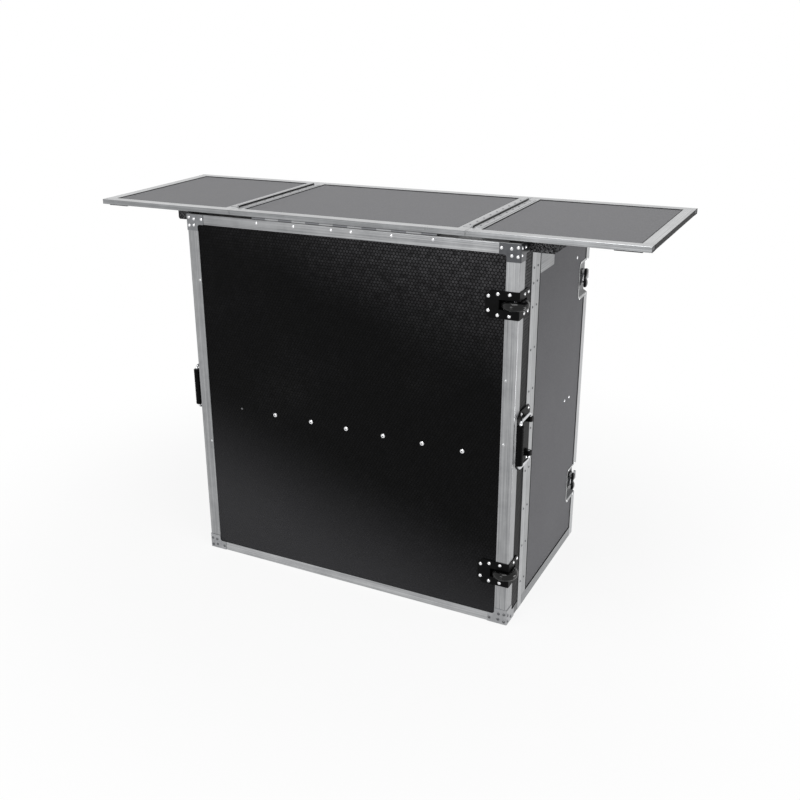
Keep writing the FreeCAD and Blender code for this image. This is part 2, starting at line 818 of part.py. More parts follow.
def dish(name):
    # Pressed dish with a rim and slanted walls, open towards the door's edge
    body = new_body(name)
    long, half = d.dish_length, d.dish_height / 2
    wall, rim, deep, slant = d.dish_wall, d.dish_rim, d.dish_depth, d.dish_slant
    flange = sketch_on(body, "XY_Plane")
    rectangle(flange, -(long + rim), zero, -(half + rim), half + rim)
    pad(body, flange, wall)
    wide = half + wall
    outer_rim = (-(long + wall), zero, -wide, wide)
    outer_floor = (slant - long - wall, zero, slant - wide, wide - slant)
    sunk_wedge(body, "Additive", zero, deep + wall, outer_rim, outer_floor)
    inner_rim = (-long, rim, -half, half)
    inner_floor = (slant - long, rim, slant - half, half - slant)
    sunk_wedge(body, "Subtractive", wall, deep + wall, inner_rim, inner_floor)
    return body


def latch_dish(name):
    # Dish with a raised bed that the hook slides on and the spindle turns in
    body = dish(name)
    bed = sketch_on(body, "XY_Plane", -d.dish_depth)
    far = d.latch_bed_margin + d.latch_bed_length
    half = d.latch_bed_width / 2
    rectangle(bed, -far, -d.latch_bed_margin, -half, half)
    circle(bed, d.spindle_radius + d.running_gap, -d.spindle_setback)
    pad(body, bed, d.latch_bed_height)
    return body


def catch_dish(name):
    # Dish with an upright lip behind which the hook closes
    body = dish(name)
    lip = sketch_on(body, "XY_Plane", -d.dish_depth)
    half = d.catch_width / 2
    rectangle(lip, -(d.catch_setback + d.catch_wall), -d.catch_setback, -half, half)
    pad(body, lip, d.latch_bed_height - d.sliding_gap)
    return body


def butterfly(name):
    # Spindle, disc and waisted wing, with the spindle along Z through the origin
    body = new_body(name)
    disc_level = -d.dish_depth + d.latch_bed_height + d.hook_wall + d.sliding_gap * 2
    foot = -d.dish_depth + d.spindle_rise
    spindle = sketch_on(body, "XY_Plane", foot)
    circle(spindle, d.spindle_radius)
    pad(body, spindle, disc_level - foot)
    disc = sketch_on(body, "XY_Plane", disc_level)
    flats(disc, d.butterfly_disc_radius, sleeve_flats)
    pad(body, disc, d.butterfly_disc_wall)
    wing = sketch_on(body, "XY_Plane", disc_level + d.butterfly_disc_wall)
    wide, waist, long = d.butterfly_width / 2, d.butterfly_waist / 2, d.butterfly_length / 2
    outline(wing, [
        (-wide, -long), (wide, -long), (waist, zero), (wide, long), (-wide, long), (-waist, zero),
    ])
    pad(body, wing, d.butterfly_height)
    chamfer(body, d.butterfly_bevel, "z", [(-wide, -long), (wide, -long), (wide, long), (-wide, long)])
    return body


def hook(name):
    # Flat draw hook with a turned-down lip and a slot round the spindle
    body = new_body(name)
    half = d.hook_width / 2
    level = -d.dish_depth + d.latch_bed_height + d.sliding_gap
    back = d.spindle_setback + d.hook_tail
    slot = d.spindle_radius + d.sliding_gap
    plate = sketch_on(body, "XY_Plane", level)
    rectangle(plate, -back, d.hook_reach, -half, half)
    rectangle(plate, -(d.spindle_setback + slot), d.hook_travel + slot - d.spindle_setback, -slot, slot)
    pad(body, plate, d.hook_wall)
    lip = sketch_on(body, "XY_Plane", level)
    rectangle(lip, d.hook_reach - d.hook_wall, d.hook_reach, -half, half)
    pad(body, lip, d.latch_bed_height + d.sliding_gap - d.hook_lip_gap, True)
    return body


def make_latches():
    dishes = []
    catches = []
    for level_name, level in latch_levels.items():
        pressed = latch_dish(f"latch_dish_{level_name}")
        dishes.append(place(pressed, (board_face, door_end, level), rear, up))
        pressed = catch_dish(f"catch_dish_{level_name}")
        catches.append(place(pressed, (-board_face, door_end, level), rear, down))
        turning = butterfly(f"latch_butterfly_{level_name}")
        node(turning.Name, place(turning, (board_face, door_end - d.spindle_setback, level), rear, up))
        drawn = hook(f"latch_hook_{level_name}")
        node(drawn.Name, place(drawn, (board_face, door_end, level), rear, up))
    group("latch_dishes", dishes)
    group("catch_dishes", catches)


# Table

def framed_board(name, x_low, x_high):
    # Board in a frame of channels: front and rear in full, the sides between them
    wall, deep = d.trim_wall, d.trim_depth
    low = (x_low + wall, d.table_setback + wall, table_under + wall)
    high = (x_high - wall, table_rear - wall, table_top - wall)
    node(f"table_board_{name}", box(f"table_board_{name}", low, high))
    thick = d.table_thickness
    span = x_high - x_low
    side_length = d.table_depth - deep * 2
    side_start = d.table_setback + deep
    side_end = table_rear - deep
    trims = [
        place(channel(f"{name}_front_trim", thick, span), (x_high, d.table_setback, table_under), up, rear),
        place(channel(f"{name}_rear_trim", thick, span), (x_low, table_rear, table_under), up, front),
        place(channel(f"{name}_left_trim", thick, side_length), (x_low, side_start, table_under), up, right),
        place(channel(f"{name}_right_trim", thick, side_length), (x_high, side_end, table_under), up, left),
    ]
    group(f"table_trims_{name}", trims)


def make_table_hinges():
    length, count = d.centre_width - d.table_hinge_margin * 2, knuckles_per_table_hinge
    half = length / 2
    fixed = hinge_leaf("table_hinge_tray_leaf", length, count, 0)
    node(fixed.Name, place(fixed, (-half, table_axis_y, table_axis_z), down, rear))
    moving = hinge_leaf("table_hinge_table_leaf", length, count, 1)
    node(moving.Name, place(moving, (half, table_axis_y, table_axis_z), up, rear))
    spot = (-half, table_axis_y, table_axis_z)
    node("table_hinge_pin", rod("table_hinge_pin", d.hinge_pin_radius, length, spot, rear, up))

    length, count = d.table_depth - d.wing_hinge_margin * 2, knuckles_per_wing_hinge
    near = d.table_setback + d.wing_hinge_margin
    far = near + length
    fixed_leaves = []
    pins = []
    for side, axis_x, towards, away in (("left", -seam, right, left), ("right", seam, left, right)):
        starts = (far, near) if side == "left" else (near, far)
        fixed = hinge_leaf(f"wing_hinge_centre_leaf_{side}", length, count, 0)
        fixed_leaves.append(place(fixed, (axis_x, starts[0], wing_axis_z), down, towards))
        moving = hinge_leaf(f"wing_hinge_leaf_{side}", length, count, 1)
        node(moving.Name, place(moving, (axis_x, starts[1], wing_axis_z), down, away))
        spot = (axis_x, near, wing_axis_z)
        pins.append(rod(f"wing_hinge_pin_{side}", d.hinge_pin_radius, length, spot, up, right))
    group("wing_hinge_centre_leaves", fixed_leaves)
    group("wing_hinge_pins", pins)


def wing_block(name):
    # Block with its lower long edges bevelled, drawn along Z
    body = new_body(name)
    wide, tall = d.wing_block_width, d.wing_block_height + d.trim_wall
    bevel = d.wing_block_chamfer
    profile = sketch_on(body, "XY_Plane")
    outline(profile, [
        (zero, zero), (wide, zero), (wide, tall - bevel), (wide - bevel, tall), (bevel, tall),
        (zero, tall - bevel),
    ])
    pad(body, profile, d.wing_block_length)
    return body


def make_wing_fittings():
    block_near = half_width + d.wing_block_gap
    block_far = block_near + d.wing_block_width
    board_under = table_under + d.trim_wall
    for side, edge in (("left", -block_far), ("right", block_near)):
        spot = (edge, d.wing_block_start, board_under)
        node(f"wing_block_{side}", place(wing_block(f"wing_block_{side}"), spot, right, down))
        pad_far = wing_outer - d.wing_pad_inset
        pad_near = pad_far - d.wing_pad_length
        x_low, x_high = (pad_near, pad_far) if side == "right" else (-pad_far, -pad_near)
        front_start = d.table_setback + d.wing_pad_margin
        rear_start = table_rear - d.wing_pad_margin - d.wing_pad_width
        pads = []
        for end, start in (("front", front_start), ("rear", rear_start)):
            low = (x_low, start, table_under - d.wing_pad_height)
            high = (x_high, start + d.wing_pad_width, table_under)
            pads.append(box(f"wing_pad_{side}_{end}", low, high))
        group(f"wing_pads_{side}", pads)


make_tray_boards()
make_tray_rails()
make_tray_trims()
make_corner_plates()
make_wheels()
make_handles()
for door_side in ("left", "right"):
    make_door(door_side)
make_door_hinges()
make_latches()
framed_board("centre", -d.centre_width / 2, d.centre_width / 2)
framed_board("left", -wing_outer, -wing_inner)
framed_board("right", wing_inner, wing_outer)
make_table_hinges()
make_wing_fittings()

doc.recompute()
for item in doc.Objects:
    if "Invalid" in item.State or "Error" in item.State:
        raise RuntimeError(f"{item.Label} failed: {item.State}")
for name, piece in nodes.items():
    if piece.Shape.isNull() or not piece.Shape.isValid() or not piece.Shape.Solids:
        raise RuntimeError(f"{name} has no valid solid")

os.makedirs("parts", exist_ok=True)
for name, piece in nodes.items():
    piece.Shape.exportStep(f"parts/{name}.step")
print(len(nodes), "nodes written")
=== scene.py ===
import math

import bmesh
import bpy
from mathutils import Matrix, Vector


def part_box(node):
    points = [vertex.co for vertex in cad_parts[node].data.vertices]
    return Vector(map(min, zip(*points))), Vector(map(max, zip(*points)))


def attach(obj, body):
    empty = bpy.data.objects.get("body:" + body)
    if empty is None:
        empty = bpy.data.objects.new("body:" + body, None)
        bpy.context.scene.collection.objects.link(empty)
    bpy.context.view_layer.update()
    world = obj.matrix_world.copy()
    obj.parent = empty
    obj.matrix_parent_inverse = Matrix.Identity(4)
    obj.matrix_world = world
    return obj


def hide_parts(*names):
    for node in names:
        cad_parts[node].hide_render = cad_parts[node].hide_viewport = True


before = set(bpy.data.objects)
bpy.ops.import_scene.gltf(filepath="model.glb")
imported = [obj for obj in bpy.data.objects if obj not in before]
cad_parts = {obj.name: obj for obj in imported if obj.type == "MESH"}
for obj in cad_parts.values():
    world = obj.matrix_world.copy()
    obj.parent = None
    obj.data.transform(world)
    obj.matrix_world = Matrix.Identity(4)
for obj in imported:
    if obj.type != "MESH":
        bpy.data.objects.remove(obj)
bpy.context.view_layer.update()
print("frame", len(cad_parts), "nodes")

mm = 0.001
rearShift = 300.75  # mm from the tray's front face to the frame's origin
rightward, leftward = Vector((1, 0, 0)), Vector((-1, 0, 0))
forward, upward = Vector((0, -1, 0)), Vector((0, 0, 1))
sides = ((-1, "left"), (1, "right"))
caseLook = {"half": 500, "head": 1075, "doorFace": 498.5}  # mm, as the solids have them


def at(x, y, z):  # mm from the middle of the tray's front face at floor level
    return Vector((x, y - rearShift, z)) * mm


def linear(text):  # sRGB hex to linear colour
    parts = [int(text[i:i + 2], 16) / 255 for i in (1, 3, 5)]
    return tuple(p / 12.92 if p <= 0.04045 else ((p + 0.055) / 1.055) ** 2.4 for p in parts) + (1.0,)


def perMetre(size):  # a pattern's scale, from the size in mm of one grain, line or cloud of it
    return 1 / (size * mm)


def addNode(tree, kind, settings, links):
    node = tree.nodes.new(kind)
    for key, value in settings.items():
        if key == "ramp":  # place and sRGB colour of each end of a colour ramp
            for stop, (place, colour) in zip(node.color_ramp.elements, value):
                stop.position, stop.color = place, linear(colour)
        elif isinstance(key, int) or key in node.inputs:
            node.inputs[key].default_value = value
        else:
            setattr(node, key, value)
    for key, source in links.items():
        tree.links.new(source, node.inputs[key])
    return node


def newMaterial(name):
    material = bpy.data.materials.new(name)
    material.use_nodes = True
    tree = material.node_tree
    tree.nodes.clear()
    return material, tree, addNode(tree, "ShaderNodeTexCoord", {}, {}).outputs["Object"]


# Camera at the photo's viewing angle
cameraLook = {
    "place": (1.30399, -2.61276, 1.61758),
    "right": (0.87779, 0.47862, -0.02002),
    "up": (-0.15424, 0.32195, 0.93411),
    "lens": 45.8, "sensor": 36, "farthest": 100,
    "shift": (0.06225, -0.00698),
}
lens = bpy.data.cameras.new("camera")
lens.lens, lens.sensor_width = cameraLook["lens"], cameraLook["sensor"]
lens.shift_x, lens.shift_y = cameraLook["shift"]
lens.clip_end = cameraLook["farthest"]
camera = bpy.data.objects.new("camera", lens)
bpy.context.scene.collection.objects.link(camera)
sideways, upright = Vector(cameraLook["right"]).normalized(), Vector(cameraLook["up"]).normalized()
turn = Matrix((sideways, upright, sideways.cross(upright))).transposed().to_4x4()
camera.matrix_world = Matrix.Translation(cameraLook["place"]) @ turn
bpy.context.scene.camera = camera
bpy.context.scene.view_settings.view_transform = "Standard"
print("camera")


# Studio: white floor that keeps a soft shadow, white surroundings, three soft lamps
studio = {"ambient": 0.42, "floorHalf": 30.0, "mottle": 111, "paint": (0.88, 0.93),
          "glowNear": 0.88, "nearEdge": 0.7, "farEdge": 1.8}


def seenDirectly(tree):  # 1 for what the camera sees, also in gloss and through glass
    path = addNode(tree, "ShaderNodeLightPath", {}, {}).outputs
    seen = addNode(tree, "ShaderNodeMath", {"operation": "ADD"},
                   {0: path["Is Camera Ray"], 1: path["Is Glossy Ray"]}).outputs[0]
    return addNode(tree, "ShaderNodeMath", {"operation": "ADD", "use_clamp": True},
                   {0: seen, 1: path["Is Transmission Ray"]}).outputs[0]


floorMaterial, tree, coords = newMaterial("paintedStudioFloor")  # even matt white, faint roller mottling
mottle = addNode(tree, "ShaderNodeTexNoise", {"Scale": perMetre(studio["mottle"]), "Detail": 3.0},
                 {"Vector": coords})
paint = addNode(tree, "ShaderNodeMapRange", {"To Min": studio["paint"][0], "To Max": studio["paint"][1]},
                {"Value": mottle.outputs["Fac"]})
matt = addNode(tree, "ShaderNodeBsdfDiffuse", {}, {"Color": paint.outputs["Result"]})
glow = addNode(tree, "ShaderNodeEmission", {"Color": (1, 1, 1, 1), "Strength": 1.0}, {})
away = addNode(tree, "ShaderNodeVectorMath", {"operation": "LENGTH"}, {0: coords})
lift = addNode(tree, "ShaderNodeMapRange", {
    "interpolation_type": "SMOOTHSTEP", "From Min": studio["nearEdge"], "From Max": studio["farEdge"],
    "To Min": studio["glowNear"], "To Max": 1.0,
}, {"Value": away.outputs["Value"]})  # the shadow stays near the object, and further off is plain white
share = addNode(tree, "ShaderNodeMath", {"operation": "MULTIPLY"},
                {0: seenDirectly(tree), 1: lift.outputs["Result"]})
mixed = addNode(tree, "ShaderNodeMixShader", {},
                {0: share.outputs[0], 1: matt.outputs["BSDF"], 2: glow.outputs["Emission"]})
addNode(tree, "ShaderNodeOutputMaterial", {}, {"Surface": mixed.outputs["Shader"]})
mesh = bmesh.new()
bmesh.ops.create_grid(mesh, x_segments=2, y_segments=2, size=studio["floorHalf"])
floorShape = bpy.data.meshes.new("floor")
mesh.to_mesh(floorShape)
mesh.free()
floorShape.materials.append(floorMaterial)
floor = bpy.data.objects.new("floor", floorShape)
bpy.context.scene.collection.objects.link(floor)

world = bpy.data.worlds.new("studio")
world.use_nodes = True
tree = world.node_tree
tree.nodes.clear()
strength = addNode(tree, "ShaderNodeMapRange", {"To Min": studio["ambient"], "To Max": 1.0},
                   {"Value": seenDirectly(tree)})
sky = addNode(tree, "ShaderNodeBackground", {"Color": (1, 1, 1, 1)}, {"Strength": strength.outputs["Result"]})
addNode(tree, "ShaderNodeOutputWorld", {}, {"Surface": sky.outputs["Background"]})
bpy.context.scene.world = world

lamps = {
    "topLamp": {"place": (0.5, -0.9, 3.6), "aim": (0, 0, 0.9), "size": 1.5, "watts": 38},
    "frontLamp": {"place": (-0.2, -3.6, 1.4), "aim": (0, 0, 0.5), "size": 1.1, "watts": 26},
    "sideLamp": {"place": (1.75, 0.15, 0.08), "aim": (0.5, 0.15, 0.1), "size": 0.6, "watts": 12},
}
for name, lamp in lamps.items():
    light = bpy.data.lights.new(name, "AREA")
    light.size, light.energy = lamp["size"], lamp["watts"]
    holder = bpy.data.objects.new(name, light)
    bpy.context.scene.collection.objects.link(holder)
    place = Vector(lamp["place"])
    aim = (Vector(lamp["aim"]) - place).to_track_quat("-Z", "Y").to_matrix().to_4x4()
    holder.matrix_world = Matrix.Translation(place) @ aim
print("studio")


# Materials

hexLook = {
    "pitch": 9.5,  # mm between buttons, coarser than the real mesh, so that it shows
    "crownEdge": 0.3, "grooveEdge": 0.47, "relief": 0.5,
    "cloud": 312.5, "unevenness": 11.76, "grain": 1.11,  # mm
    "grainShare": 0.12, "film": ("#080809", "#565658"), "footSheenLayer": "#3e3e40",
    "paintedSheen": {
        # painted sheen: the buttons are lighter towards the right head, and a painted reflection lightens the
        # film towards the left foot
        "headSheen": {"slope": (0.364, 0.0, 0.93), "start": 0.745, "end": 1.245, "most": 0.62},
        "footSheen": {"slope": (-0.323, 0.0, -0.93), "start": -0.4, "end": 0.03, "most": 0.8},
    },
}


def hexLaminate():  # phenolic film pressed with a hexagon mesh: black, soft sheen, even rows of low buttons
    look = hexLook
    material, tree, coords = newMaterial("phenolicFilmHexPressed")
    pitch = look["pitch"] * mm
    half = (pitch / 2, pitch * math.sqrt(3) / 2, 0)
    axes = addNode(tree, "ShaderNodeSeparateXYZ", {}, {0: coords}).outputs
    along = addNode(tree, "ShaderNodeMath", {"operation": "ADD"}, {0: axes["X"], 1: axes["Y"]}).outputs[0]
    flat = addNode(tree, "ShaderNodeCombineXYZ", {}, {"X": along, "Y": axes["Z"]}).outputs[0]
    moved = addNode(tree, "ShaderNodeVectorMath", {"operation": "ADD", 1: half}, {0: flat}).outputs[0]
    cells, gaps = [], []
    for grid in (flat, moved):  # two oblong grids, whose nearer middles make the hexagons
        cell = addNode(tree, "ShaderNodeVectorMath",
                       {"operation": "WRAP", 1: half, 2: tuple(-h for h in half)},
                       {0: grid}).outputs[0]
        cells.append(cell)
        gaps.append(addNode(tree, "ShaderNodeVectorMath", {"operation": "LENGTH"},
                            {0: cell}).outputs["Value"])
    nearer = addNode(tree, "ShaderNodeMath", {"operation": "LESS_THAN"}, {0: gaps[0], 1: gaps[1]}).outputs[0]
    cell = addNode(tree, "ShaderNodeMix", {"data_type": "VECTOR"},
                   {0: nearer, 4: cells[1], 5: cells[0]}).outputs[1]
    cell = addNode(tree, "ShaderNodeVectorMath", {"operation": "ABSOLUTE"}, {0: cell}).outputs[0]
    slant = addNode(tree, "ShaderNodeVectorMath", {"operation": "DOT_PRODUCT", 1: (0.5, math.sqrt(3) / 2, 0)},
                    {0: cell}).outputs["Value"]
    level = addNode(tree, "ShaderNodeSeparateXYZ", {}, {0: cell}).outputs["X"]
    reach = addNode(tree, "ShaderNodeMath", {"operation": "MAXIMUM"}, {0: slant, 1: level}).outputs[0]
    button = addNode(tree, "ShaderNodeMapRange", {
        "interpolation_type": "SMOOTHSTEP", "From Min": pitch * look["crownEdge"],
        "From Max": pitch * look["grooveEdge"], "To Min": 1.0, "To Max": 0.0,
    }, {"Value": reach}).outputs["Result"]
    cloud = addNode(tree, "ShaderNodeTexNoise",
                    {"Scale": perMetre(look["cloud"]), "Detail": 5.0, "Roughness": 0.5},
                    {"Vector": coords}).outputs["Fac"]
    mottle = addNode(tree, "ShaderNodeMapRange", {"To Min": -0.1, "To Max": 0.1},
                     {"Value": cloud}).outputs["Result"]
    # painted sheen towards the right head and painted reflection towards the left foot
    sheenShare = {}
    for kind, paintedSheen in look["paintedSheen"].items():
        away = addNode(tree, "ShaderNodeVectorMath", {"operation": "DOT_PRODUCT", 1: paintedSheen["slope"]},
                       {0: coords}).outputs["Value"]
        sheenShare[kind] = addNode(tree, "ShaderNodeMapRange", {
            "interpolation_type": "SMOOTHSTEP", "From Min": paintedSheen["start"], "From Max": paintedSheen["end"],
            "To Max": paintedSheen["most"],
        }, {"Value": away}).outputs["Result"]
    pale = addNode(tree, "ShaderNodeMath", {"operation": "ADD"}, {0: mottle, 1: sheenShare["headSheen"]}).outputs[0]
    tint = addNode(tree, "ShaderNodeValToRGB", {"ramp": ((0, look["film"][0]), (1, look["film"][1]))},
                   {"Fac": pale}).outputs["Color"]
    uneven = addNode(tree, "ShaderNodeTexNoise", {
        "Scale": perMetre(look["unevenness"]), "Detail": 3.0, "Roughness": 0.6,
    }, {"Vector": coords}).outputs["Fac"]
    crown = addNode(tree, "ShaderNodeMapRange",
                    {"From Min": 0.32, "From Max": 0.68, "To Min": 0.45, "To Max": 1.6},
                    {"Value": uneven}).outputs["Result"]
    shade = addNode(tree, "ShaderNodeMapRange", {"To Min": 0.1},
                    {"Value": button, "To Max": crown}).outputs["Result"]
    colour = addNode(tree, "ShaderNodeMix", {"data_type": "RGBA", "blend_type": "MULTIPLY", 0: 1.0},
                     {6: tint, 7: shade}).outputs[2]
    # the painted reflection towards the left foot lies over the buttons, a little lighter in the grooves
    sheenOverButtons = addNode(tree, "ShaderNodeMapRange", {"To Min": 1.05, "To Max": 0.95},
                      {"Value": button}).outputs["Result"]
    footSheenLayer = addNode(tree, "ShaderNodeMath", {"operation": "MULTIPLY"},
                   {0: sheenShare["footSheen"], 1: sheenOverButtons}).outputs[0]
    colour = addNode(tree, "ShaderNodeMix",
                     {"data_type": "RGBA", "blend_type": "ADD", 7: linear(look["footSheenLayer"])},
                     {0: footSheenLayer, 6: colour}).outputs[2]
    grain = addNode(tree, "ShaderNodeTexNoise", {"Scale": perMetre(look["grain"]), "Detail": 2.0},
                    {"Vector": coords}).outputs["Fac"]
    polish = addNode(tree, "ShaderNodeMapRange", {"To Min": 0.55, "To Max": 0.3},
                     {"Value": button}).outputs["Result"]
    rough = addNode(tree, "ShaderNodeMath", {"operation": "MULTIPLY_ADD", 1: look["grainShare"]},
                    {0: grain, 2: polish}).outputs[0]
    relief = addNode(tree, "ShaderNodeBump", {"Strength": 1.0, "Distance": look["relief"] * mm},
                     {"Height": button}).outputs["Normal"]
    shader = addNode(tree, "ShaderNodeBsdfPrincipled", {"IOR": 1.5, "Specular IOR Level": 0.06},
                     {"Base Color": colour, "Roughness": rough, "Normal": relief})
    addNode(tree, "ShaderNodeOutputMaterial", {}, {"Surface": shader.outputs["BSDF"]})
    return material


laminateLook = {"flake": 2.38, "cloud": 200, "peel": 1.54, "relief": 0.06,  # mm, flakes coarser than real
                "flakeShare": 0.45}


def speckledLaminate(name, dark, light, gloss):  # pressed decor paper: even grey, fine flakes, satin gloss
    look = laminateLook
    material, tree, coords = newMaterial(name)
    flakes = addNode(tree, "ShaderNodeTexVoronoi", {"Scale": perMetre(look["flake"])}, {"Vector": coords})
    flake = addNode(tree, "ShaderNodeSeparateXYZ", {}, {0: flakes.outputs["Color"]}).outputs["X"]
    cloud = addNode(tree, "ShaderNodeTexNoise",
                    {"Scale": perMetre(look["cloud"]), "Detail": 6.0, "Roughness": 0.65},
                    {"Vector": coords}).outputs["Fac"]
    both = addNode(tree, "ShaderNodeMath", {"operation": "MULTIPLY_ADD", 1: look["flakeShare"]},
                   {0: flake, 2: cloud}).outputs[0]
    spread = addNode(tree, "ShaderNodeMapRange", {"From Min": 0.4, "From Max": 1.1},
                     {"Value": both}).outputs["Result"]
    tint = addNode(tree, "ShaderNodeValToRGB", {"ramp": ((0, dark), (1, light))},
                   {"Fac": spread}).outputs["Color"]
    peel = addNode(tree, "ShaderNodeTexNoise", {"Scale": perMetre(look["peel"]), "Detail": 2.0},
                   {"Vector": coords}).outputs["Fac"]
    rough = addNode(tree, "ShaderNodeMapRange", {"To Min": 0.38, "To Max": 0.52},
                    {"Value": cloud}).outputs["Result"]
    relief = addNode(tree, "ShaderNodeBump", {"Strength": 0.35, "Distance": look["relief"] * mm},
                     {"Height": peel}).outputs["Normal"]
    shader = addNode(tree, "ShaderNodeBsdfPrincipled", {"IOR": 1.5, "Specular IOR Level": gloss},
                     {"Base Color": tint, "Roughness": rough, "Normal": relief})
    addNode(tree, "ShaderNodeOutputMaterial", {}, {"Surface": shader.outputs["BSDF"]})
    return material


def patchMask(tree, coords, bounds):  # 1 between the bounds in metres; across is the distance from the middle
    axes = addNode(tree, "ShaderNodeSeparateXYZ", {}, {0: coords}).outputs
    mask = None
    for axis, (low, high) in bounds.items():
        if axis == "across":
            place = addNode(tree, "ShaderNodeMath", {"operation": "ABSOLUTE"}, {0: axes["X"]}).outputs[0]
        else:
            place = axes[axis.upper()]
        inside = addNode(tree, "ShaderNodeMath", {
            "operation": "COMPARE", 1: (low + high) / 2, 2: (high - low) / 2,
        }, {0: place}).outputs[0]
        if mask:
            inside = addNode(tree, "ShaderNodeMath", {"operation": "MULTIPLY"},
                             {0: mask, 1: inside}).outputs[0]
        mask = inside
    return mask


def layPatches(tree, coords, shader, patches):  # a stretch darkened as painted shade, or one where paint hides the metal
    for patch in patches:
        painted = "paintRoughness" in patch
        mask = patchMask(tree, coords, patch["bounds"])
        under = shader.inputs["Base Color"].links[0].from_socket
        colour = addNode(tree, "ShaderNodeMix", {
            "data_type": "RGBA", "blend_type": "MIX" if painted else "MULTIPLY", 7: linear(patch["tone"]),
        }, {0: mask, 6: under}).outputs[2]
        tree.links.new(colour, shader.inputs["Base Color"])
        if painted:
            rough = shader.inputs["Roughness"].links[0].from_socket
            metallic = shader.inputs["Metallic"]
            bare = addNode(tree, "ShaderNodeMapRange", {"To Min": metallic.default_value, "To Max": 0.0},
                           {"Value": mask})
            matt = addNode(tree, "ShaderNodeMix", {"data_type": "FLOAT", 3: patch["paintRoughness"]},
                           {0: mask, 2: rough})
            tree.links.new(bare.outputs["Result"], metallic)
            tree.links.new(matt.outputs[0], shader.inputs["Roughness"])


drawnLook = {"length": 333, "width": 2.38, "smudge": 71.4, "relief": 0.04,  # mm, lines wider than real ones
             "smudgeShare": 0.5}


def drawnMetal(name, dark, light, polish, length, cross=None, patches=()):  # drawn metal: fine lines along it
    look = drawnLook
    material, tree, coords = newMaterial(name)
    lines = []
    for axis in [length] + ([cross["length"]] if cross else []):
        scale = [perMetre(look["length"] if letter == axis else look["width"]) for letter in "xyz"]
        drawn = addNode(tree, "ShaderNodeMapping", {"Scale": scale}, {"Vector": coords}).outputs[0]
        noise = addNode(tree, "ShaderNodeTexNoise", {"Scale": 1.0, "Detail": 3.0}, {"Vector": drawn})
        lines.append(noise.outputs["Fac"])
    line = lines[0]
    if cross:  # the stretch of the node that runs the other way
        place = addNode(tree, "ShaderNodeSeparateXYZ", {}, {0: coords}).outputs[cross["axis"].upper()]
        inside = addNode(tree, "ShaderNodeMath",
                         {"operation": "COMPARE", 1: cross["middle"], 2: cross["half"]},
                         {0: place}).outputs[0]
        line = addNode(tree, "ShaderNodeMix", {"data_type": "FLOAT"},
                       {0: inside, 2: lines[0], 3: lines[1]}).outputs[0]
    smudge = addNode(tree, "ShaderNodeTexNoise",
                     {"Scale": perMetre(look["smudge"]), "Detail": 6.0, "Roughness": 0.7},
                     {"Vector": coords}).outputs["Fac"]
    both = addNode(tree, "ShaderNodeMath", {"operation": "MULTIPLY_ADD", 1: look["smudgeShare"]},
                   {0: smudge, 2: line}).outputs[0]
    spread = addNode(tree, "ShaderNodeMapRange", {"From Min": 0.45, "From Max": 1.05},
                     {"Value": both}).outputs["Result"]
    tint = addNode(tree, "ShaderNodeValToRGB", {"ramp": ((0, dark), (1, light))},
                   {"Fac": spread}).outputs["Color"]
    rough = addNode(tree, "ShaderNodeMapRange", {"To Min": polish[0], "To Max": polish[1]},
                    {"Value": smudge}).outputs["Result"]
    relief = addNode(tree, "ShaderNodeBump", {"Strength": 0.25, "Distance": look["relief"] * mm},
                     {"Height": line}).outputs["Normal"]
    shader = addNode(tree, "ShaderNodeBsdfPrincipled", {"Metallic": 0.9},
                     {"Base Color": tint, "Roughness": rough, "Normal": relief})
    layPatches(tree, coords, shader, patches)
    addNode(tree, "ShaderNodeOutputMaterial", {}, {"Surface": shader.outputs["BSDF"]})
    return material


steelLook = {"marks": 22.2, "grainShare": 0.4}  # marks in mm


def pressedSteel(name, dark, light, metallic, polish, grain, relief, gloss=0.5, patches=()):
    # plated or coated steel: fine grain, dull handling marks; grain and relief in mm
    material, tree, coords = newMaterial(name)
    grains = addNode(tree, "ShaderNodeTexNoise", {"Scale": perMetre(grain), "Detail": 3.0},
                     {"Vector": coords}).outputs["Fac"]
    marks = addNode(tree, "ShaderNodeTexNoise", {
        "Scale": perMetre(steelLook["marks"]), "Detail": 7.0, "Roughness": 0.72, "Distortion": 0.6,
    }, {"Vector": coords}).outputs["Fac"]
    both = addNode(tree, "ShaderNodeMath", {"operation": "MULTIPLY_ADD", 1: steelLook["grainShare"]},
                   {0: grains, 2: marks}).outputs[0]
    spread = addNode(tree, "ShaderNodeMapRange", {"From Min": 0.45, "From Max": 0.95},
                     {"Value": both}).outputs["Result"]
    tint = addNode(tree, "ShaderNodeValToRGB", {"ramp": ((0, dark), (1, light))},
                   {"Fac": spread}).outputs["Color"]
    rough = addNode(tree, "ShaderNodeMapRange", {"To Min": polish[0], "To Max": polish[1]},
                    {"Value": marks}).outputs["Result"]
    bump = addNode(tree, "ShaderNodeBump", {"Strength": 0.4, "Distance": relief * mm},
                   {"Height": grains}).outputs["Normal"]
    shader = addNode(tree, "ShaderNodeBsdfPrincipled", {"Metallic": metallic, "Specular IOR Level": gloss},
                     {"Base Color": tint, "Roughness": rough, "Normal": bump})
    layPatches(tree, coords, shader, patches)
    addNode(tree, "ShaderNodeOutputMaterial", {}, {"Surface": shader.outputs["BSDF"]})
    return material


rubberLook = {"bloom": 16.7, "pore": 0.667}  # mm


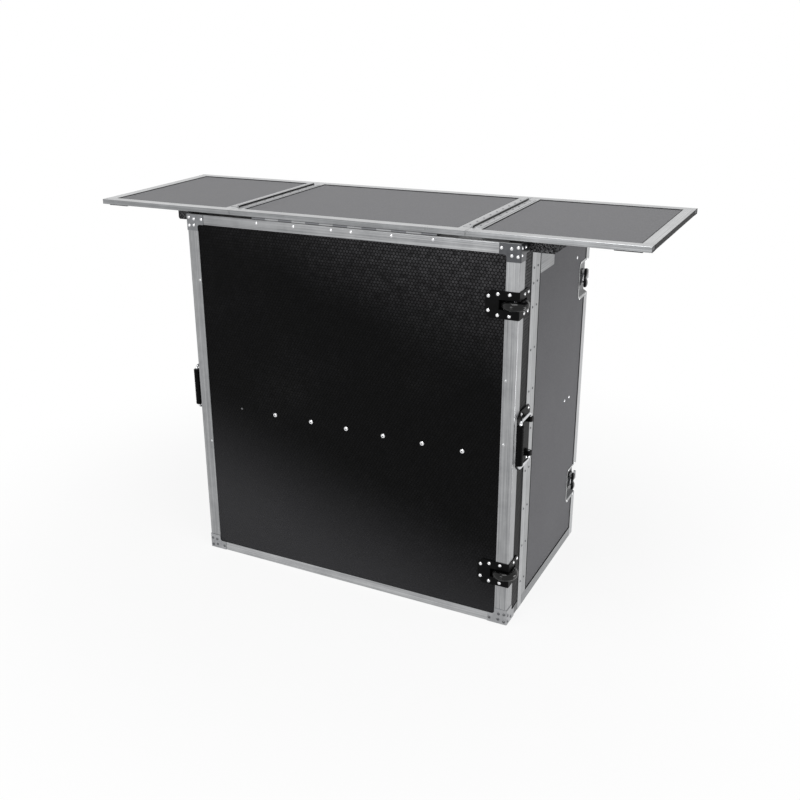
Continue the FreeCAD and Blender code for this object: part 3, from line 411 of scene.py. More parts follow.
def mouldedRubber(name, dark, light, polish, relief, gloss):  # deep black, soft highlight, fine bloom
    material, tree, coords = newMaterial(name)
    bloom = addNode(tree, "ShaderNodeTexNoise", {
        "Scale": perMetre(rubberLook["bloom"]), "Detail": 6.0, "Roughness": 0.7,
    }, {"Vector": coords}).outputs["Fac"]
    pore = addNode(tree, "ShaderNodeTexNoise", {"Scale": perMetre(rubberLook["pore"]), "Detail": 2.0},
                   {"Vector": coords}).outputs["Fac"]
    tint = addNode(tree, "ShaderNodeValToRGB", {"ramp": ((0.3, dark), (0.75, light))},
                   {"Fac": bloom}).outputs["Color"]
    rough = addNode(tree, "ShaderNodeMapRange", {"To Min": polish[0], "To Max": polish[1]},
                    {"Value": bloom}).outputs["Result"]
    bump = addNode(tree, "ShaderNodeBump", {"Strength": 0.3, "Distance": relief * mm},
                   {"Height": pore}).outputs["Normal"]
    shader = addNode(tree, "ShaderNodeBsdfPrincipled", {"IOR": 1.52, "Specular IOR Level": gloss},
                     {"Base Color": tint, "Roughness": rough, "Normal": bump})
    addNode(tree, "ShaderNodeOutputMaterial", {}, {"Surface": shader.outputs["BSDF"]})
    return material


plyLook = {"grainLength": 200, "grainWidth": 11.1, "relief": 0.15}  # mm, grain wider than real, to show


def stainedPlywood():  # rotary-cut birch with black stain: long grain, open pores, thin lacquer
    look = plyLook
    material, tree, coords = newMaterial("birchPlywoodStained")
    scale = [perMetre(look[key]) for key in ("grainLength", "grainWidth", "grainWidth")]
    stretched = addNode(tree, "ShaderNodeMapping", {"Scale": scale}, {"Vector": coords}).outputs[0]
    grain = addNode(tree, "ShaderNodeTexNoise",
                    {"Scale": 1.0, "Detail": 7.0, "Roughness": 0.65, "Distortion": 0.8},
                    {"Vector": stretched}).outputs["Fac"]
    tint = addNode(tree, "ShaderNodeValToRGB", {"ramp": ((0.3, "#161310"), (0.75, "#332b25"))},
                   {"Fac": grain})
    rough = addNode(tree, "ShaderNodeMapRange", {"To Min": 0.6, "To Max": 0.42},
                    {"Value": grain}).outputs["Result"]
    relief = addNode(tree, "ShaderNodeBump", {"Strength": 0.3, "Distance": look["relief"] * mm},
                     {"Height": grain}).outputs["Normal"]
    shader = addNode(tree, "ShaderNodeBsdfPrincipled", {"IOR": 1.48, "Specular IOR Level": 0.25},
                     {"Base Color": tint.outputs["Color"], "Roughness": rough, "Normal": relief})
    addNode(tree, "ShaderNodeOutputMaterial", {}, {"Surface": shader.outputs["BSDF"]})
    return material


carpetLook = {"tuft": 5.26, "relief": 0.8}  # mm, tufts coarser than real ones, so that they show


def carpetedBlock():  # needled carpet glued round a block: nearly black, rough, pale flecks
    material, tree, coords = newMaterial("needledCarpetCovering")
    fibre = addNode(tree, "ShaderNodeTexNoise", {
        "Scale": perMetre(carpetLook["tuft"]), "Detail": 4.0, "Roughness": 0.75, "Distortion": 1.5,
    }, {"Vector": coords}).outputs["Fac"]
    tint = addNode(tree, "ShaderNodeValToRGB", {"ramp": ((0.47, "#0a0a0a"), (0.7, "#9a9a9d"))},
                   {"Fac": fibre})
    relief = addNode(tree, "ShaderNodeBump", {"Strength": 0.9, "Distance": carpetLook["relief"] * mm},
                     {"Height": fibre}).outputs["Normal"]
    shader = addNode(tree, "ShaderNodeBsdfPrincipled", {"Roughness": 0.92, "Specular IOR Level": 0.1},
                     {"Base Color": tint.outputs["Color"], "Normal": relief})
    addNode(tree, "ShaderNodeOutputMaterial", {}, {"Surface": shader.outputs["BSDF"]})
    return material


blackLaminate = hexLaminate()
doorLaminate = speckledLaminate("decorLaminateDoor", "#505053", "#616164", gloss=0.08)
tableLaminate = speckledLaminate("decorLaminateTable", "#505053", "#646467", gloss=0.3)
plywood = stainedPlywood()
carpet = carpetedBlock()

# Plated and coated steel, from the dull corner plates to the bright screws
zinc = {"dark": "#8a8b8d", "light": "#adaeb0", "metallic": 0.9, "polish": (0.26, 0.44), "grain": 1.43,
        "relief": 0.04}
cornerSteel = pressedSteel("zincPlatedPressedSteel", **zinc, patches=(
    # painted shade under the table's wings: the top right plate much darker, the top left plate a little
    # darker
    {"bounds": {"x": (0.4, 0.51), "z": (0.9, 1.1)}, "tone": "#858688"},
    {"bounds": {"x": (-0.51, -0.4), "z": (0.9, 1.1)}, "tone": "#d4d5d6"}))
hookSteel = pressedSteel("zincPlatedHook", **zinc)
dishSteel = pressedSteel("nickelPlatedPressedSteel", "#8f9091", "#b4b5b6", metallic=0.9, polish=(0.18, 0.34),
                         grain=1.43, relief=0.03,
                         # painted shade: darker inside the dishes' recess
                         patches=({"bounds": {"across": (0.4, 0.4983)}, "tone": "#77787a"},))
blackSteelAndRecessShade = pressedSteel("powderCoatedSteelAndRecessShade", "#060606", "#121213", metallic=0.0, polish=(0.34, 0.52),
                          grain=0.91, relief=0.1, gloss=0.05)
blackCasting = pressedSteel("lacqueredZincCasting", "#080809", "#19191a", metallic=0.0, polish=(0.16, 0.32),
                            grain=2.0, relief=0.03, gloss=0.3)
chrome = pressedSteel("chromedSteelRod", "#b9babc", "#dcdddf", metallic=1.0, polish=(0.07, 0.2),
                      grain=3.33, relief=0.01)
dullRivet = pressedSteel("aluminiumBlindRivet", "#4c4d4f", "#77787a", metallic=0.95, polish=(0.3, 0.46),
                         grain=1.11, relief=0.02)
plainRivet = pressedSteel("aluminiumDrawnRivet", "#a2a3a5", "#d0d1d2", metallic=0.95, polish=(0.2, 0.36),
                          grain=1.11, relief=0.02)
screwSteel = pressedSteel("nickelPlatedScrew", "#c4c5c7", "#ececed", metallic=1.0, polish=(0.14, 0.3),
                          grain=1.11, relief=0.02)

# Black rubber: the wheels shine, the grips and pads are matt
wheelRubber = mouldedRubber("mouldedWheelRubber", "#030303", "#080808", polish=(0.07, 0.15), relief=0.02,
                            gloss=0.26)
gripRubber = mouldedRubber("mouldedGripRubber", "#040404", "#0b0b0c", polish=(0.36, 0.5), relief=0.08,
                           gloss=0.04)
# the same matt black also serves for the strips of painted shade along the door and table seams
padRubberAndSeamShade = mouldedRubber("cutSheetRubberAndSeamShade", "#070707", "#121213", polish=(0.6, 0.8), relief=0.12, gloss=0.05)

# Anodised aluminium and rolled hinge steel, each drawn along its own length
railMetal = drawnMetal("anodisedAluminiumUprights", "#78797b", "#b4b5b6", polish=(0.26, 0.42), length="z")
topMetal = drawnMetal("anodisedAluminiumTopRail", "#78797b", "#b4b5b6", polish=(0.26, 0.42), length="x")
footMetal = drawnMetal("anodisedAluminiumFootRail", "#8a8b8d", "#c2c3c4", polish=(0.26, 0.42), length="x")
# painted shade: the sills are toned much darker than the other aluminium
shadedSillMetal = drawnMetal("anodisedAluminiumSillsShaded", "#505153", "#6c6e6f", polish=(0.28, 0.44), length="y")
rearMetal = drawnMetal("anodisedAluminiumDoorEdge", "#9a9b9d", "#c6c7c8", polish=(0.26, 0.42), length="z")
hingeSteel = {"dark": "#8b8c8e", "light": "#b9babb", "polish": (0.22, 0.38)}
hingeMetal = {axis: drawnMetal(f"rolledHingeSteelAlong{axis.upper()}", **hingeSteel, length=axis)
              for axis in "xyz"}
# painted shade: every second knuckle of the front hinge is darker, and one side of the table's knuckles is
# painted dark
knuckleShadeHinge = drawnMetal("rolledHingeSteelKnuckleShade", "#68696c", "#8a8b8e", polish=(0.3, 0.46), length="x")
sideShadeHinge = drawnMetal("rolledHingeSteelSideShade", **hingeSteel, length="y", patches=(
    {"bounds": {"x": (0.3554, 0.359)}, "tone": "#2c2c2d"},
    {"bounds": {"x": (-0.3506, -0.347)}, "tone": "#2c2c2d"}))
sideTrimMetal = drawnMetal("anodisedAluminiumTraySides", "#858688", "#bebfc0", polish=(0.28, 0.44),
                           length="z", cross={"axis": "x", "middle": 0.0, "half": 0.488, "length": "x"})
doorTrimMetal = drawnMetal("anodisedAluminiumDoor", "#7e7f81", "#b2b3b4", polish=(0.28, 0.44),
                           length="z", cross={"axis": "y", "middle": 0.077, "half": 0.226, "length": "y"},
                           # painted shade: the foot of the door trims is darker
                           patches=({"bounds": {"z": (-0.01, 0.032)}, "tone": "#d8d9da"},))
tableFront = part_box("table_trims_centre")[0][1]
# painted shade: the trims' front face is a little darker than their top
tablePatches = ({"bounds": {"y": (tableFront - mm, tableFront + mm / 2)}, "tone": "#cdcecf"},
                {"bounds": {"across": (0.8088, 0.82)}, "tone": "#121213", "paintRoughness": 0.8})
tableTrimMetal = drawnMetal("anodisedAluminiumTable", "#8e8f90", "#cfd0d1", polish=(0.22, 0.38), length="x",
                            cross={"axis": "y", "middle": -0.045, "half": 0.2245, "length": "y"},
                            patches=tablePatches)
plateMetal = drawnMetal("brushedPlainPlate", "#6e6f71", "#a2a3a4", polish=(0.32, 0.46), length="y")

finishes = {
    "front_panel": blackLaminate, "floor_board": plywood, "hinge_batten": plywood, "middle_batten": plywood,
    "top_rail": topMetal, "bottom_rail": footMetal, "side_sills": shadedSillMetal,
    "tray_rear_trims": sideTrimMetal, "corner_plates": cornerSteel, "wheel_axles": chrome,
    "handle_plates": blackSteelAndRecessShade, "handle_saddles": blackSteelAndRecessShade,
    "tray_hinge_leaves": hingeMetal["z"], "door_hinge_pins": hingeMetal["z"],
    "table_hinge_tray_leaf": knuckleShadeHinge,
    "table_hinge_pin": hingeMetal["x"], "table_hinge_table_leaf": hingeMetal["x"],
    "wing_hinge_centre_leaves": sideShadeHinge, "wing_hinge_pins": hingeMetal["y"],
    "latch_dishes": dishSteel, "catch_dishes": dishSteel,
    "table_board_centre": tableLaminate, "table_trims_centre": tableTrimMetal,
}
pairedFinishes = {
    ("left", "right"): {
        "side_wall": blackLaminate, "front_rail": railMetal, "handle_bail": chrome, "handle_grip": gripRubber,
        "door_panel": doorLaminate, "door_rear_trim": rearMetal, "door_trims": doorTrimMetal,
        "door_hinge_leaf": hingeMetal["z"], "wing_hinge_leaf": sideShadeHinge, "rest_pads": padRubberAndSeamShade,
        "wing_pads": padRubberAndSeamShade, "wing_block": carpet, "table_board": tableLaminate,
        "table_trims": tableTrimMetal,
    },
    ("upper", "lower"): {
        "wheel_bracket": blackSteelAndRecessShade, "wheel": wheelRubber, "latch_butterfly": blackCasting,
        "latch_hook": hookSteel,
    },
}
for ends, pairs in pairedFinishes.items():
    finishes.update({f"{stem}_{end}": finish for stem, finish in pairs.items() for end in ends})
for name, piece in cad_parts.items():
    piece.data.materials.clear()
    piece.data.materials.append(finishes[name])
print("materials", len(bpy.data.materials))


# Pieces

def newPiece(name, mesh, material, body, sharp=40):  # edges sharper than so many degrees stay crisp
    bmesh.ops.recalc_face_normals(mesh, faces=mesh.faces)
    for face in mesh.faces:
        face.smooth = True
    shape = bpy.data.meshes.new(name)
    mesh.to_mesh(shape)
    mesh.free()
    shape.set_sharp_from_angle(angle=math.radians(sharp))
    shape.materials.append(material)
    piece = bpy.data.objects.new(name, shape)
    bpy.context.scene.collection.objects.link(piece)
    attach(piece, body)
    return piece


def turned(mesh, profile, steps):  # a profile of radius and height in mm, spun about Z
    verts = [mesh.verts.new((radius * mm, 0, height * mm)) for radius, height in profile]
    edges = [mesh.edges.new(pair) for pair in zip(verts, verts[1:])]
    bmesh.ops.spin(mesh, geom=verts + edges, cent=(0, 0, 0), axis=(0, 0, 1), angle=math.tau, steps=steps,
                   use_merge=True)
    bmesh.ops.remove_doubles(mesh, verts=mesh.verts, dist=mm / 1000)


def bead(mesh, low, high, rounding=0.45):  # strip between two corners, rounded by a share of its thickness
    centre, span = (low + high) / 2, high - low
    size = Matrix.Diagonal((*span, 1))
    made = bmesh.ops.create_cube(mesh, size=1, matrix=Matrix.Translation(centre) @ size)
    edges = list({edge for vert in made["verts"] for edge in vert.link_edges})
    bmesh.ops.bevel(mesh, geom=edges, offset=min(span) * rounding, affect="EDGES", segments=2, profile=0.5,
                    material=-1)


headSteps = 12
headProfiles = {
    "rivet": [(0, 1.0), (0.9, 1.0), (1.2, 2.0), (2.6, 1.7), (4.0, 0.9), (4.5, 0)],  # dome, mandrel's dimple
    "smallRivet": [(0, 0.3), (0.8, 0.3), (1.0, 1.5), (2.2, 1.3), (3.1, 0.6), (3.4, 0)],
    "panelScrew": [(0, 0.8), (1.1, 1.2), (1.7, 2.4), (4.2, 2.0), (5.8, 1.1), (6.5, 0)],
    "driveRecessShade": [(0, 1.0), (1.05, 1.35), (1.7, 2.45), (1.2, 1.1), (0, 0.7)],  # black lining in the panel screw: painted shade of its drive recess
    "screw": [(0, 0.6), (1.3, 1.0), (1.9, 2.0), (3.3, 1.7), (4.6, 0.9), (5.0, 0)],  # raised, with a recess
    "leafScrew": [(0, 0.2), (0.9, 0.3), (1.2, 0.7), (2.6, 0.5), (3.2, 0)],
}


def heads(name, style, spots, body, material=screwSteel):  # like fasteners, each at a place with its normal
    single = bmesh.new()
    turned(single, headProfiles[style], headSteps)
    head = bpy.data.meshes.new(name + "One")
    single.to_mesh(head)
    single.free()
    mesh = bmesh.new()
    for place, normal in spots:
        stand = Matrix.Translation(place) @ upward.rotation_difference(normal).to_matrix().to_4x4()
        head.transform(stand)
        mesh.from_mesh(head)
        head.transform(stand.inverted())
    bpy.data.meshes.remove(head)
    return newPiece(name, mesh, material, body)


# Screws and rivets of the tray's front; the panel lies behind the rails, and the corner plates stand proud
trayHeads = {
    "panelDepth": 1.5, "plateWall": 1.5,
    "panelScrewLevel": 501, "panelScrewPlaces": (-351, -234, -112, 3, 120, 239, 357),
    "topScrewLevel": 1065, "topScrewPlaces": (-264, -145, -28, 32, 150, 267),
    "uprightRivets": ((-470.5, 883), (-470.5, 375.5), (472.5, 719), (472.5, 542)),
    "cornerFront": ((7, 10), (24, 14), (50, 13.5), (7, 33), (23, 31.5)),
    "cornerSide": ((6, 11), (6, 29), (31, 12.5)),
}
spots = [(at(x, trayHeads["panelDepth"], trayHeads["panelScrewLevel"]), forward)
         for x in trayHeads["panelScrewPlaces"]]
heads("panelScrewDull", "smallRivet", spots[:1], "tray", dullRivet)
heads("panelScrews", "panelScrew", spots[1:], "tray")
# black linings: painted shade in the panel screws' drive recesses
heads("panelScrewRecessShades", "driveRecessShade", spots[1:], "tray", blackSteelAndRecessShade)
spots = [(at(x, 0, trayHeads["topScrewLevel"]), forward) for x in trayHeads["topScrewPlaces"]]
heads("topRailScrews", "rivet", spots, "tray")
spots = [(at(x, 0, z), forward) for x, z in trayHeads["uprightRivets"]]
heads("uprightRivets", "rivet", spots, "tray", plainRivet)
proud = trayHeads["plateWall"]
for end, base, rise, material in (("Lower", 0, 1, dullRivet), ("Upper", caseLook["head"], -1, screwSteel)):
    spots = []
    for side in (-1, 1):
        spots += [(at(side * (caseLook["half"] - x), -proud, base + rise * z), forward)
                  for x, z in trayHeads["cornerFront"]]
        spots += [(at(side * (caseLook["half"] + proud), y, base + rise * z), rightward * side)
                  for y, z in trayHeads["cornerSide"]]
    heads(f"cornerPlateRivets{end}", "rivet", spots, "tray", material)

wheelLook = {
    "levels": {"upper": 918, "lower": 157}, "axis": (485, 15), "steps": 64,
    "parting": 35.6,  # radius of the fine parting line round the tread
    "half": [(36, 0.6), (35.9, 2.4), (35.4, 4.6), (34.2, 7), (32.4, 9.1), (30, 10.8), (27.4, 11.7), (25, 12),
             (17, 12), (15.5, 11.2), (14.8, 9.8), (9, 9.8), (8.2, 10.6), (5.2, 10.6), (4.3, 10)],
    "bracketWall": 2,
    "bracketFront": ((-80, 20), (-55, 27), (-24, 27), (-80, -17), (-55, -27.5), (-24, -27)),
    "bracketSide": ((35, 25), (62, 25), (35, -25), (62, -25)),
}
spots = []
for level in wheelLook["levels"].values():
    proud = wheelLook["bracketWall"]
    spots += [(at(caseLook["half"] + x, -proud, level + z), forward) for x, z in wheelLook["bracketFront"]]
    spots += [(at(caseLook["half"] + proud, y, level + z), rightward) for y, z in wheelLook["bracketSide"]]
heads("wheelBracketScrews", "screw", spots, "tray")

# Rows along the seam between tray and doors: rivets outside, screws of the hinge leaves inside
seamHeads = {
    "levels": (993, 953, 890, 775, 660, 545, 430, 315, 200, 85), "trayStrip": 105, "doorStrip": 134,
    "leafFace": 487, "leafRise": 20, "trayLeaf": 104, "doorLeaf": 137,
    "doorFaceRivets": ((485.5, 937), (443, 515), (486, 512)),
}
for side, sideName in sides:
    look, door = seamHeads, f"door_{sideName}"
    outside, inside = side * caseLook["half"], side * look["leafFace"]
    inner = [z + look["leafRise"] for z in look["levels"]]
    spots = [(at(outside, look["trayStrip"], z), rightward * side) for z in look["levels"]]
    heads(f"trayStripRivets_{sideName}", "smallRivet", spots, "tray", dullRivet)
    spots = [(at(outside, look["doorStrip"], z), rightward * side) for z in look["levels"]]
    heads(f"doorStripRivets_{sideName}", "smallRivet", spots, door, dullRivet)
    spots = [(at(side * caseLook["doorFace"], y, z), rightward * side) for y, z in look["doorFaceRivets"]]
    heads(f"doorFaceRivets_{sideName}", "rivet", spots, door)
    spots = [(at(inside, look["doorLeaf"], z), leftward * side) for z in inner]
    heads(f"doorLeafScrews_{sideName}", "leafScrew", spots, door)
    spots = [(at(inside, look["trayLeaf"], z), leftward * side) for z in inner]
    heads(f"trayLeafScrews_{sideName}", "leafScrew", spots, "tray")
print("fasteners")


# Smooth bent bails, ribbed grips and rounded wheels in place of the plain solids
handleLook = {
    "axis": 514, "pivot": 84, "level": 544, "halfSpan": 66, "reach": 74, "tail": 24, "rod": 4, "bend": 8,
    "rodSteps": 16, "bendSteps": 6,
    "plateFace": 502, "plateRivets": ((48, 72), (103, 72), (48, -72), (103, -72)),
}
gripLook = {
    "length": 112, "radius": 10, "bore": 4.3, "steps": 24, "ribs": 13, "margin": 8,
    "end": ((-1.6, 0), (-0.5, 0.6), (0, 2)),  # mm from the radius and along the grip
    "rib": ((0, 0), (-0.8, 1.2), (-0.8, 2.2), (0, 3.4)),
}


def bentRod(side):
    mesh = bmesh.new()
    look = handleLook
    foot = at(side * look["axis"], look["pivot"], look["level"] - look["halfSpan"] + look["tail"])
    ring = bmesh.ops.create_circle(mesh, cap_ends=True, radius=look["rod"] * mm, segments=look["rodSteps"],
                                   matrix=Matrix.Translation(foot))
    end = list({face for vert in ring["verts"] for face in vert.link_faces})
    bend = look["bend"] * mm
    tail, arm = look["tail"] * mm - bend, look["reach"] * mm - bend * 2
    runs = [tail, arm, look["halfSpan"] * 2 * mm - bend * 2, arm, tail]
    headings = [-upward, forward, upward, -forward, -upward]
    for index, (run, heading) in enumerate(zip(runs, headings)):
        made = bmesh.ops.extrude_face_region(mesh, geom=end)["geom"]
        verts = [item for item in made if isinstance(item, bmesh.types.BMVert)]
        bmesh.ops.translate(mesh, verts=verts, vec=heading * run)
        end = [item for item in made if isinstance(item, bmesh.types.BMFace)]
        if index + 1 < len(runs):
            following = headings[index + 1]
            middle = sum((vert.co for vert in verts), Vector()) / len(verts)
            made = bmesh.ops.spin(mesh, geom=end, cent=middle + following * bend,
                                  axis=heading.cross(following), angle=math.tau / 4, steps=look["bendSteps"])
            end = [item for item in made["geom_last"] if isinstance(item, bmesh.types.BMFace)]
    return mesh


def ribbedGrip(side):
    look = gripLook
    radius, length = look["radius"], look["length"]
    end = [(look["bore"], 0)] + [(radius + inward, height) for inward, height in look["end"]]
    profile = end[:]
    pitch = (length - look["margin"] * 2) / look["ribs"]
    for rib in range(look["ribs"]):
        start = look["margin"] + rib * pitch
        profile += [(radius + inward, start + height) for inward, height in look["rib"]]
    profile += [(edge, length - height) for edge, height in reversed(end)]
    mesh = bmesh.new()
    turned(mesh, profile, look["steps"])
    handle = handleLook
    place = at(side * handle["axis"], handle["pivot"] - handle["reach"], handle["level"] - length / 2)
    bmesh.ops.translate(mesh, verts=mesh.verts, vec=place)
    return mesh


def roundedWheel(level):
    half = wheelLook["half"]
    profile = [(radius, -height) for radius, height in reversed(half)] + [(wheelLook["parting"], 0)] + half
    mesh = bmesh.new()
    turned(mesh, profile, wheelLook["steps"])
    bmesh.ops.translate(mesh, verts=mesh.verts, vec=at(*wheelLook["axis"], level))
    return mesh


for side, sideName in sides:
    look, body = handleLook, f"handle_{sideName}"
    bail = newPiece(f"bentBail_{sideName}", bentRod(side), chrome, body, sharp=60)
    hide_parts(f"handle_bail_{sideName}")
    grip = newPiece(f"ribbedGrip_{sideName}", ribbedGrip(side), gripRubber, body, sharp=50)
    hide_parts(f"handle_grip_{sideName}")
    spots = [(at(side * look["plateFace"], y, look["level"] + z), rightward * side)
             for y, z in look["plateRivets"]]
    heads(f"handlePlateRivets_{sideName}", "rivet", spots, "tray")
for levelName, level in wheelLook["levels"].items():
    body = f"wheel_{levelName}"
    wheel = newPiece(f"roundedWheel_{levelName}", roundedWheel(level), wheelRubber, body, sharp=50)
    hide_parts(f"wheel_{levelName}")
print("handles and wheels")


# Dark strips round the door panels, painted shade along the joins with the trims, with gaps at the dishes
doorLook = {"front": 151, "rear": 574.5, "foot": 30, "head": 1045, "width": 4, "frontWidth": 8, "height": 0.9,
            "breaks": ((141, 257), (801, 917))}
for side, sideName in sides:
    mesh = bmesh.new()
    look = doorLook
    inner, outer = sorted((side * caseLook["doorFace"], side * (caseLook["doorFace"] + look["height"])))
    stops = [look["foot"]] + [z for pair in look["breaks"] for z in pair] + [look["head"]]
    for low, high in zip(stops[::2], stops[1::2]):
        bead(mesh, at(inner, look["rear"] - look["width"], low), at(outer, look["rear"], high))
    bead(mesh, at(inner, look["front"], look["foot"]),
         at(outer, look["front"] + look["frontWidth"], look["head"]))
    for z in (look["foot"], look["head"] - look["width"]):
        bead(mesh, at(inner, look["front"], z), at(outer, look["rear"], z + look["width"]))
    newPiece(f"doorSeamShade_{sideName}", mesh, padRubberAndSeamShade, f"door_{sideName}")

# Dark strips round the table's boards: painted shade where the boards lie lower than their trims
tableSeamShadeLook = {"trim": 30, "board": 1.5, "height": 0.9, "sideWidth": 3, "endWidth": 5}
for boardName, body in (("centre", "table"), ("left", "wing_left"), ("right", "wing_right")):
    look = tableSeamShadeLook
    low, high = (Vector(corner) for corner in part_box(f"table_trims_{boardName}"))
    foot = high.z - look["board"] * mm
    left, right = low.x + look["trim"] * mm, high.x - look["trim"] * mm
    front, rear = low.y + look["trim"] * mm, high.y - look["trim"] * mm
    wide, deep, top = look["sideWidth"] * mm, look["endWidth"] * mm, foot + look["height"] * mm
    mesh = bmesh.new()
    for start, end in ((left, left + wide), (right - wide, right)):
        bead(mesh, Vector((start, front, foot)), Vector((end, rear, top)))
    for start, end in ((front, front + deep), (rear - deep, rear)):
        bead(mesh, Vector((left, start, foot)), Vector((right, end, top)))
    newPiece(f"tableSeamShade_{boardName}", mesh, padRubberAndSeamShade, body)

# Plain plate on the right door
plateLook = {"rear": 270, "front": 155, "foot": 966, "head": 1026, "wall": 0.8}
mesh = bmesh.new()
bead(mesh, at(caseLook["doorFace"], plateLook["front"], plateLook["foot"]),
     at(caseLook["doorFace"] + plateLook["wall"], plateLook["rear"], plateLook["head"]))
newPiece("plainPlate", mesh, plateMetal, "door_right")
print("seams and plate")

# Countersunk screws along the table's hinges
hingeLook = {"axis": 353, "offset": 14, "level": 1096, "first": 70.5, "pitch": 46.3, "count": 9}
rows = [hingeLook["first"] + hingeLook["pitch"] * i for i in range(hingeLook["count"])]
for side, sideName in sides:
    for leaf, away, body in (("centre", -1, "table"), ("wing", 1, f"wing_{sideName}")):
        x = side * (hingeLook["axis"] + away * hingeLook["offset"])
        spots = [(at(x, y, hingeLook["level"]), upward) for y in rows]
        heads(f"{leaf}LeafScrews_{sideName}", "leafScrew", spots, body, dullRivet)

# Cast butterflies on plated discs, in place of the plain turning solids
latchLook = {
    "face": 499.6, "axis": 568.5, "levels": {"upper": 859, "lower": 199},
    "length": 56, "width": 17, "height": 10, "cuts": 7, "round": 1.6, "crease": 0.9,
    "waist": 0.5, "broadest": 0.8, "tip": 0.35, "dip": 3.5,  # shares of the width and length; the dip in mm
    "disc": [(0, -6), (4, -6), (4, -3), (13.6, -3), (15, -2.2), (15, -0.6), (14.2, 0), (12, 0), (11.6, -0.5),
             (10.6, -0.5), (10.2, 0), (0, 0)], "discSteps": 32,
}


def castButterfly():  # pinched at the waist, rounded off at the ends, thinner towards the tips
    look = latchLook
    mesh = bmesh.new()
    size = Matrix.Diagonal((look["width"] * mm, look["length"] * mm, look["height"] * mm, 1))
    bmesh.ops.create_cube(mesh, size=1, matrix=Matrix.Translation((0, 0, look["height"] * mm / 2)) @ size)
    halfLength = look["length"] * mm / 2
    long = [edge for edge in mesh.edges if abs((edge.verts[0].co - edge.verts[1].co).y) > halfLength]
    bmesh.ops.subdivide_edges(mesh, edges=long, cuts=look["cuts"], use_grid_fill=True)
    for vert in mesh.verts:
        share = abs(vert.co.y) / halfLength
        swell = math.sin(min(share, look["broadest"]) / look["broadest"] * math.pi / 2)
        taper = look["tip"] * max(0, share - look["broadest"]) / (1 - look["broadest"])
        vert.co.x *= look["waist"] + (1 - look["waist"]) * swell - taper
        if vert.co.z > mm:
            vert.co.z -= look["dip"] * mm * (1 - math.sin(share * math.pi))
    sharpEdges = [edge for edge in mesh.edges if edge.calc_face_angle(0) > look["crease"]]
    bmesh.ops.bevel(mesh, geom=sharpEdges, offset=look["round"] * mm, affect="EDGES", segments=3, profile=0.5,
                    material=-1)
    return mesh


# own Z outwards, own X to the rear, own Y up
ownToSide = Matrix(((0, 0, 1, 0), (1, 0, 0, 0), (0, 1, 0, 0), (0, 0, 0, 1)))
for levelName, level in latchLook["levels"].items():
    stand = Matrix.Translation(at(latchLook["face"], latchLook["axis"], level)) @ ownToSide
    mesh = castButterfly()
    bmesh.ops.transform(mesh, matrix=stand, verts=mesh.verts)
    body = f"latch_{levelName}"
    wing = newPiece(f"castButterfly_{levelName}", mesh, blackCasting, body, sharp=50)
    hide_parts(f"latch_butterfly_{levelName}")
    mesh = bmesh.new()
    turned(mesh, latchLook["disc"], latchLook["discSteps"])
    bmesh.ops.transform(mesh, matrix=stand, verts=mesh.verts)
    newPiece(f"butterflyDisc_{levelName}", mesh, screwSteel, body)

# Pressed dishes in place of the plain ones
dishLook = {
    "edge": 604.5, "length": 84, "height": 101, "rim": 7, "wall": 1.2, "depth": 10.5, "slant": 7,
    "corner": 18, "fold": 1.4, "crease": 0.8,
    "raised": {"latch": ((-62, -22, -10.5), (-8, 22, -5)), "catch": ((-6.5, -17, -10.5), (-4, 17, -5.1))},
    "rivetFace": 499.7, "rivetPlaces": (530, 588), "rivetRise": 54,
}


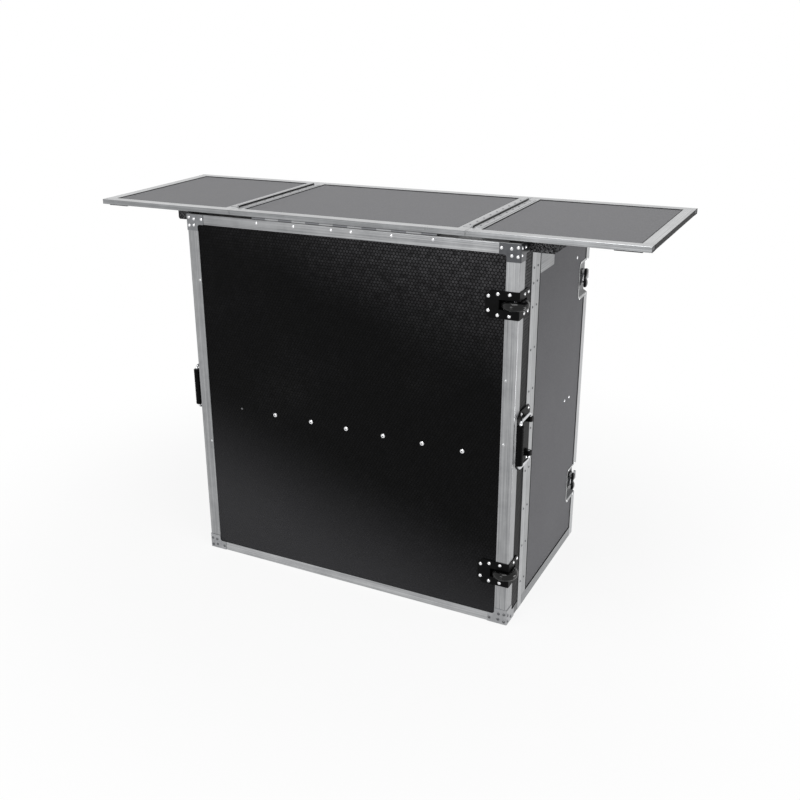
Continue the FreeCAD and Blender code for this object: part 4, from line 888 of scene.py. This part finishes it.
def pressedDish(kind):  # rounded rim, slanted walls, open at the door's edge, the hook's bed or a catch lip
    mesh = bmesh.new()
    look = dishLook
    halfLength, halfHeight = look["length"] + look["rim"], look["height"] / 2 + look["rim"]
    reach = Matrix.Diagonal((halfLength * mm, halfHeight * mm, 1, 1))
    bmesh.ops.create_grid(mesh, x_segments=1, y_segments=1, size=1,
                          matrix=Matrix.Translation((0, 0, look["wall"] * mm)) @ reach)
    bmesh.ops.bevel(mesh, geom=mesh.verts[:], offset=look["corner"] * mm, affect="VERTICES", segments=5,
                    profile=0.5, material=-1)
    base = mesh.faces[:]
    bmesh.ops.inset_region(mesh, faces=base, thickness=look["rim"] * mm, use_even_offset=True,
                           use_boundary=True)
    bmesh.ops.inset_region(mesh, faces=base, thickness=look["slant"] * mm,
                           depth=-(look["depth"] + look["wall"]) * mm, use_even_offset=True)
    folds = [edge for edge in mesh.edges if not edge.is_boundary and edge.calc_face_angle(0) > look["crease"]]
    bmesh.ops.bevel(mesh, geom=folds, offset=look["fold"] * mm, affect="EDGES", segments=3, profile=0.5,
                    material=-1)
    bmesh.ops.bisect_plane(mesh, geom=mesh.verts[:] + mesh.edges[:] + mesh.faces[:], plane_co=(0, 0, 0),
                           plane_no=(1, 0, 0), clear_outer=True)
    bmesh.ops.solidify(mesh, geom=mesh.faces[:], thickness=look["wall"] * mm)
    low, high = look["raised"][kind]
    bead(mesh, Vector(low) * mm, Vector(high) * mm)
    return mesh


dishSides = ((1, "right", "latch"), (-1, "left", "catch"))
for side, sideName, kind in dishSides:
    both = bmesh.new()
    for level in latchLook["levels"].values():
        mesh = pressedDish(kind)
        turn = Matrix(((0, 0, side, 0), (1, 0, 0, 0), (0, side, 0, 0), (0, 0, 0, 1)))
        stand = Matrix.Translation(at(side * caseLook["doorFace"], dishLook["edge"], level)) @ turn
        bmesh.ops.transform(mesh, matrix=stand, verts=mesh.verts)
        single = bpy.data.meshes.new("oneDish")
        mesh.to_mesh(single)
        mesh.free()
        both.from_mesh(single)
        bpy.data.meshes.remove(single)
    dishes = newPiece(f"pressedDishes_{sideName}", both, dishSteel, f"door_{sideName}")
    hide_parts(f"{kind}_dishes")
for side, sideName, kind in dishSides:
    spots = [(at(side * dishLook["rivetFace"], y, level + rise), rightward * side)
             for level in latchLook["levels"].values() for y in dishLook["rivetPlaces"]
             for rise in (-dishLook["rivetRise"], dishLook["rivetRise"])]
    heads(f"{kind}DishRivets", "smallRivet", spots, f"door_{sideName}")
print("hinge screws and latches")
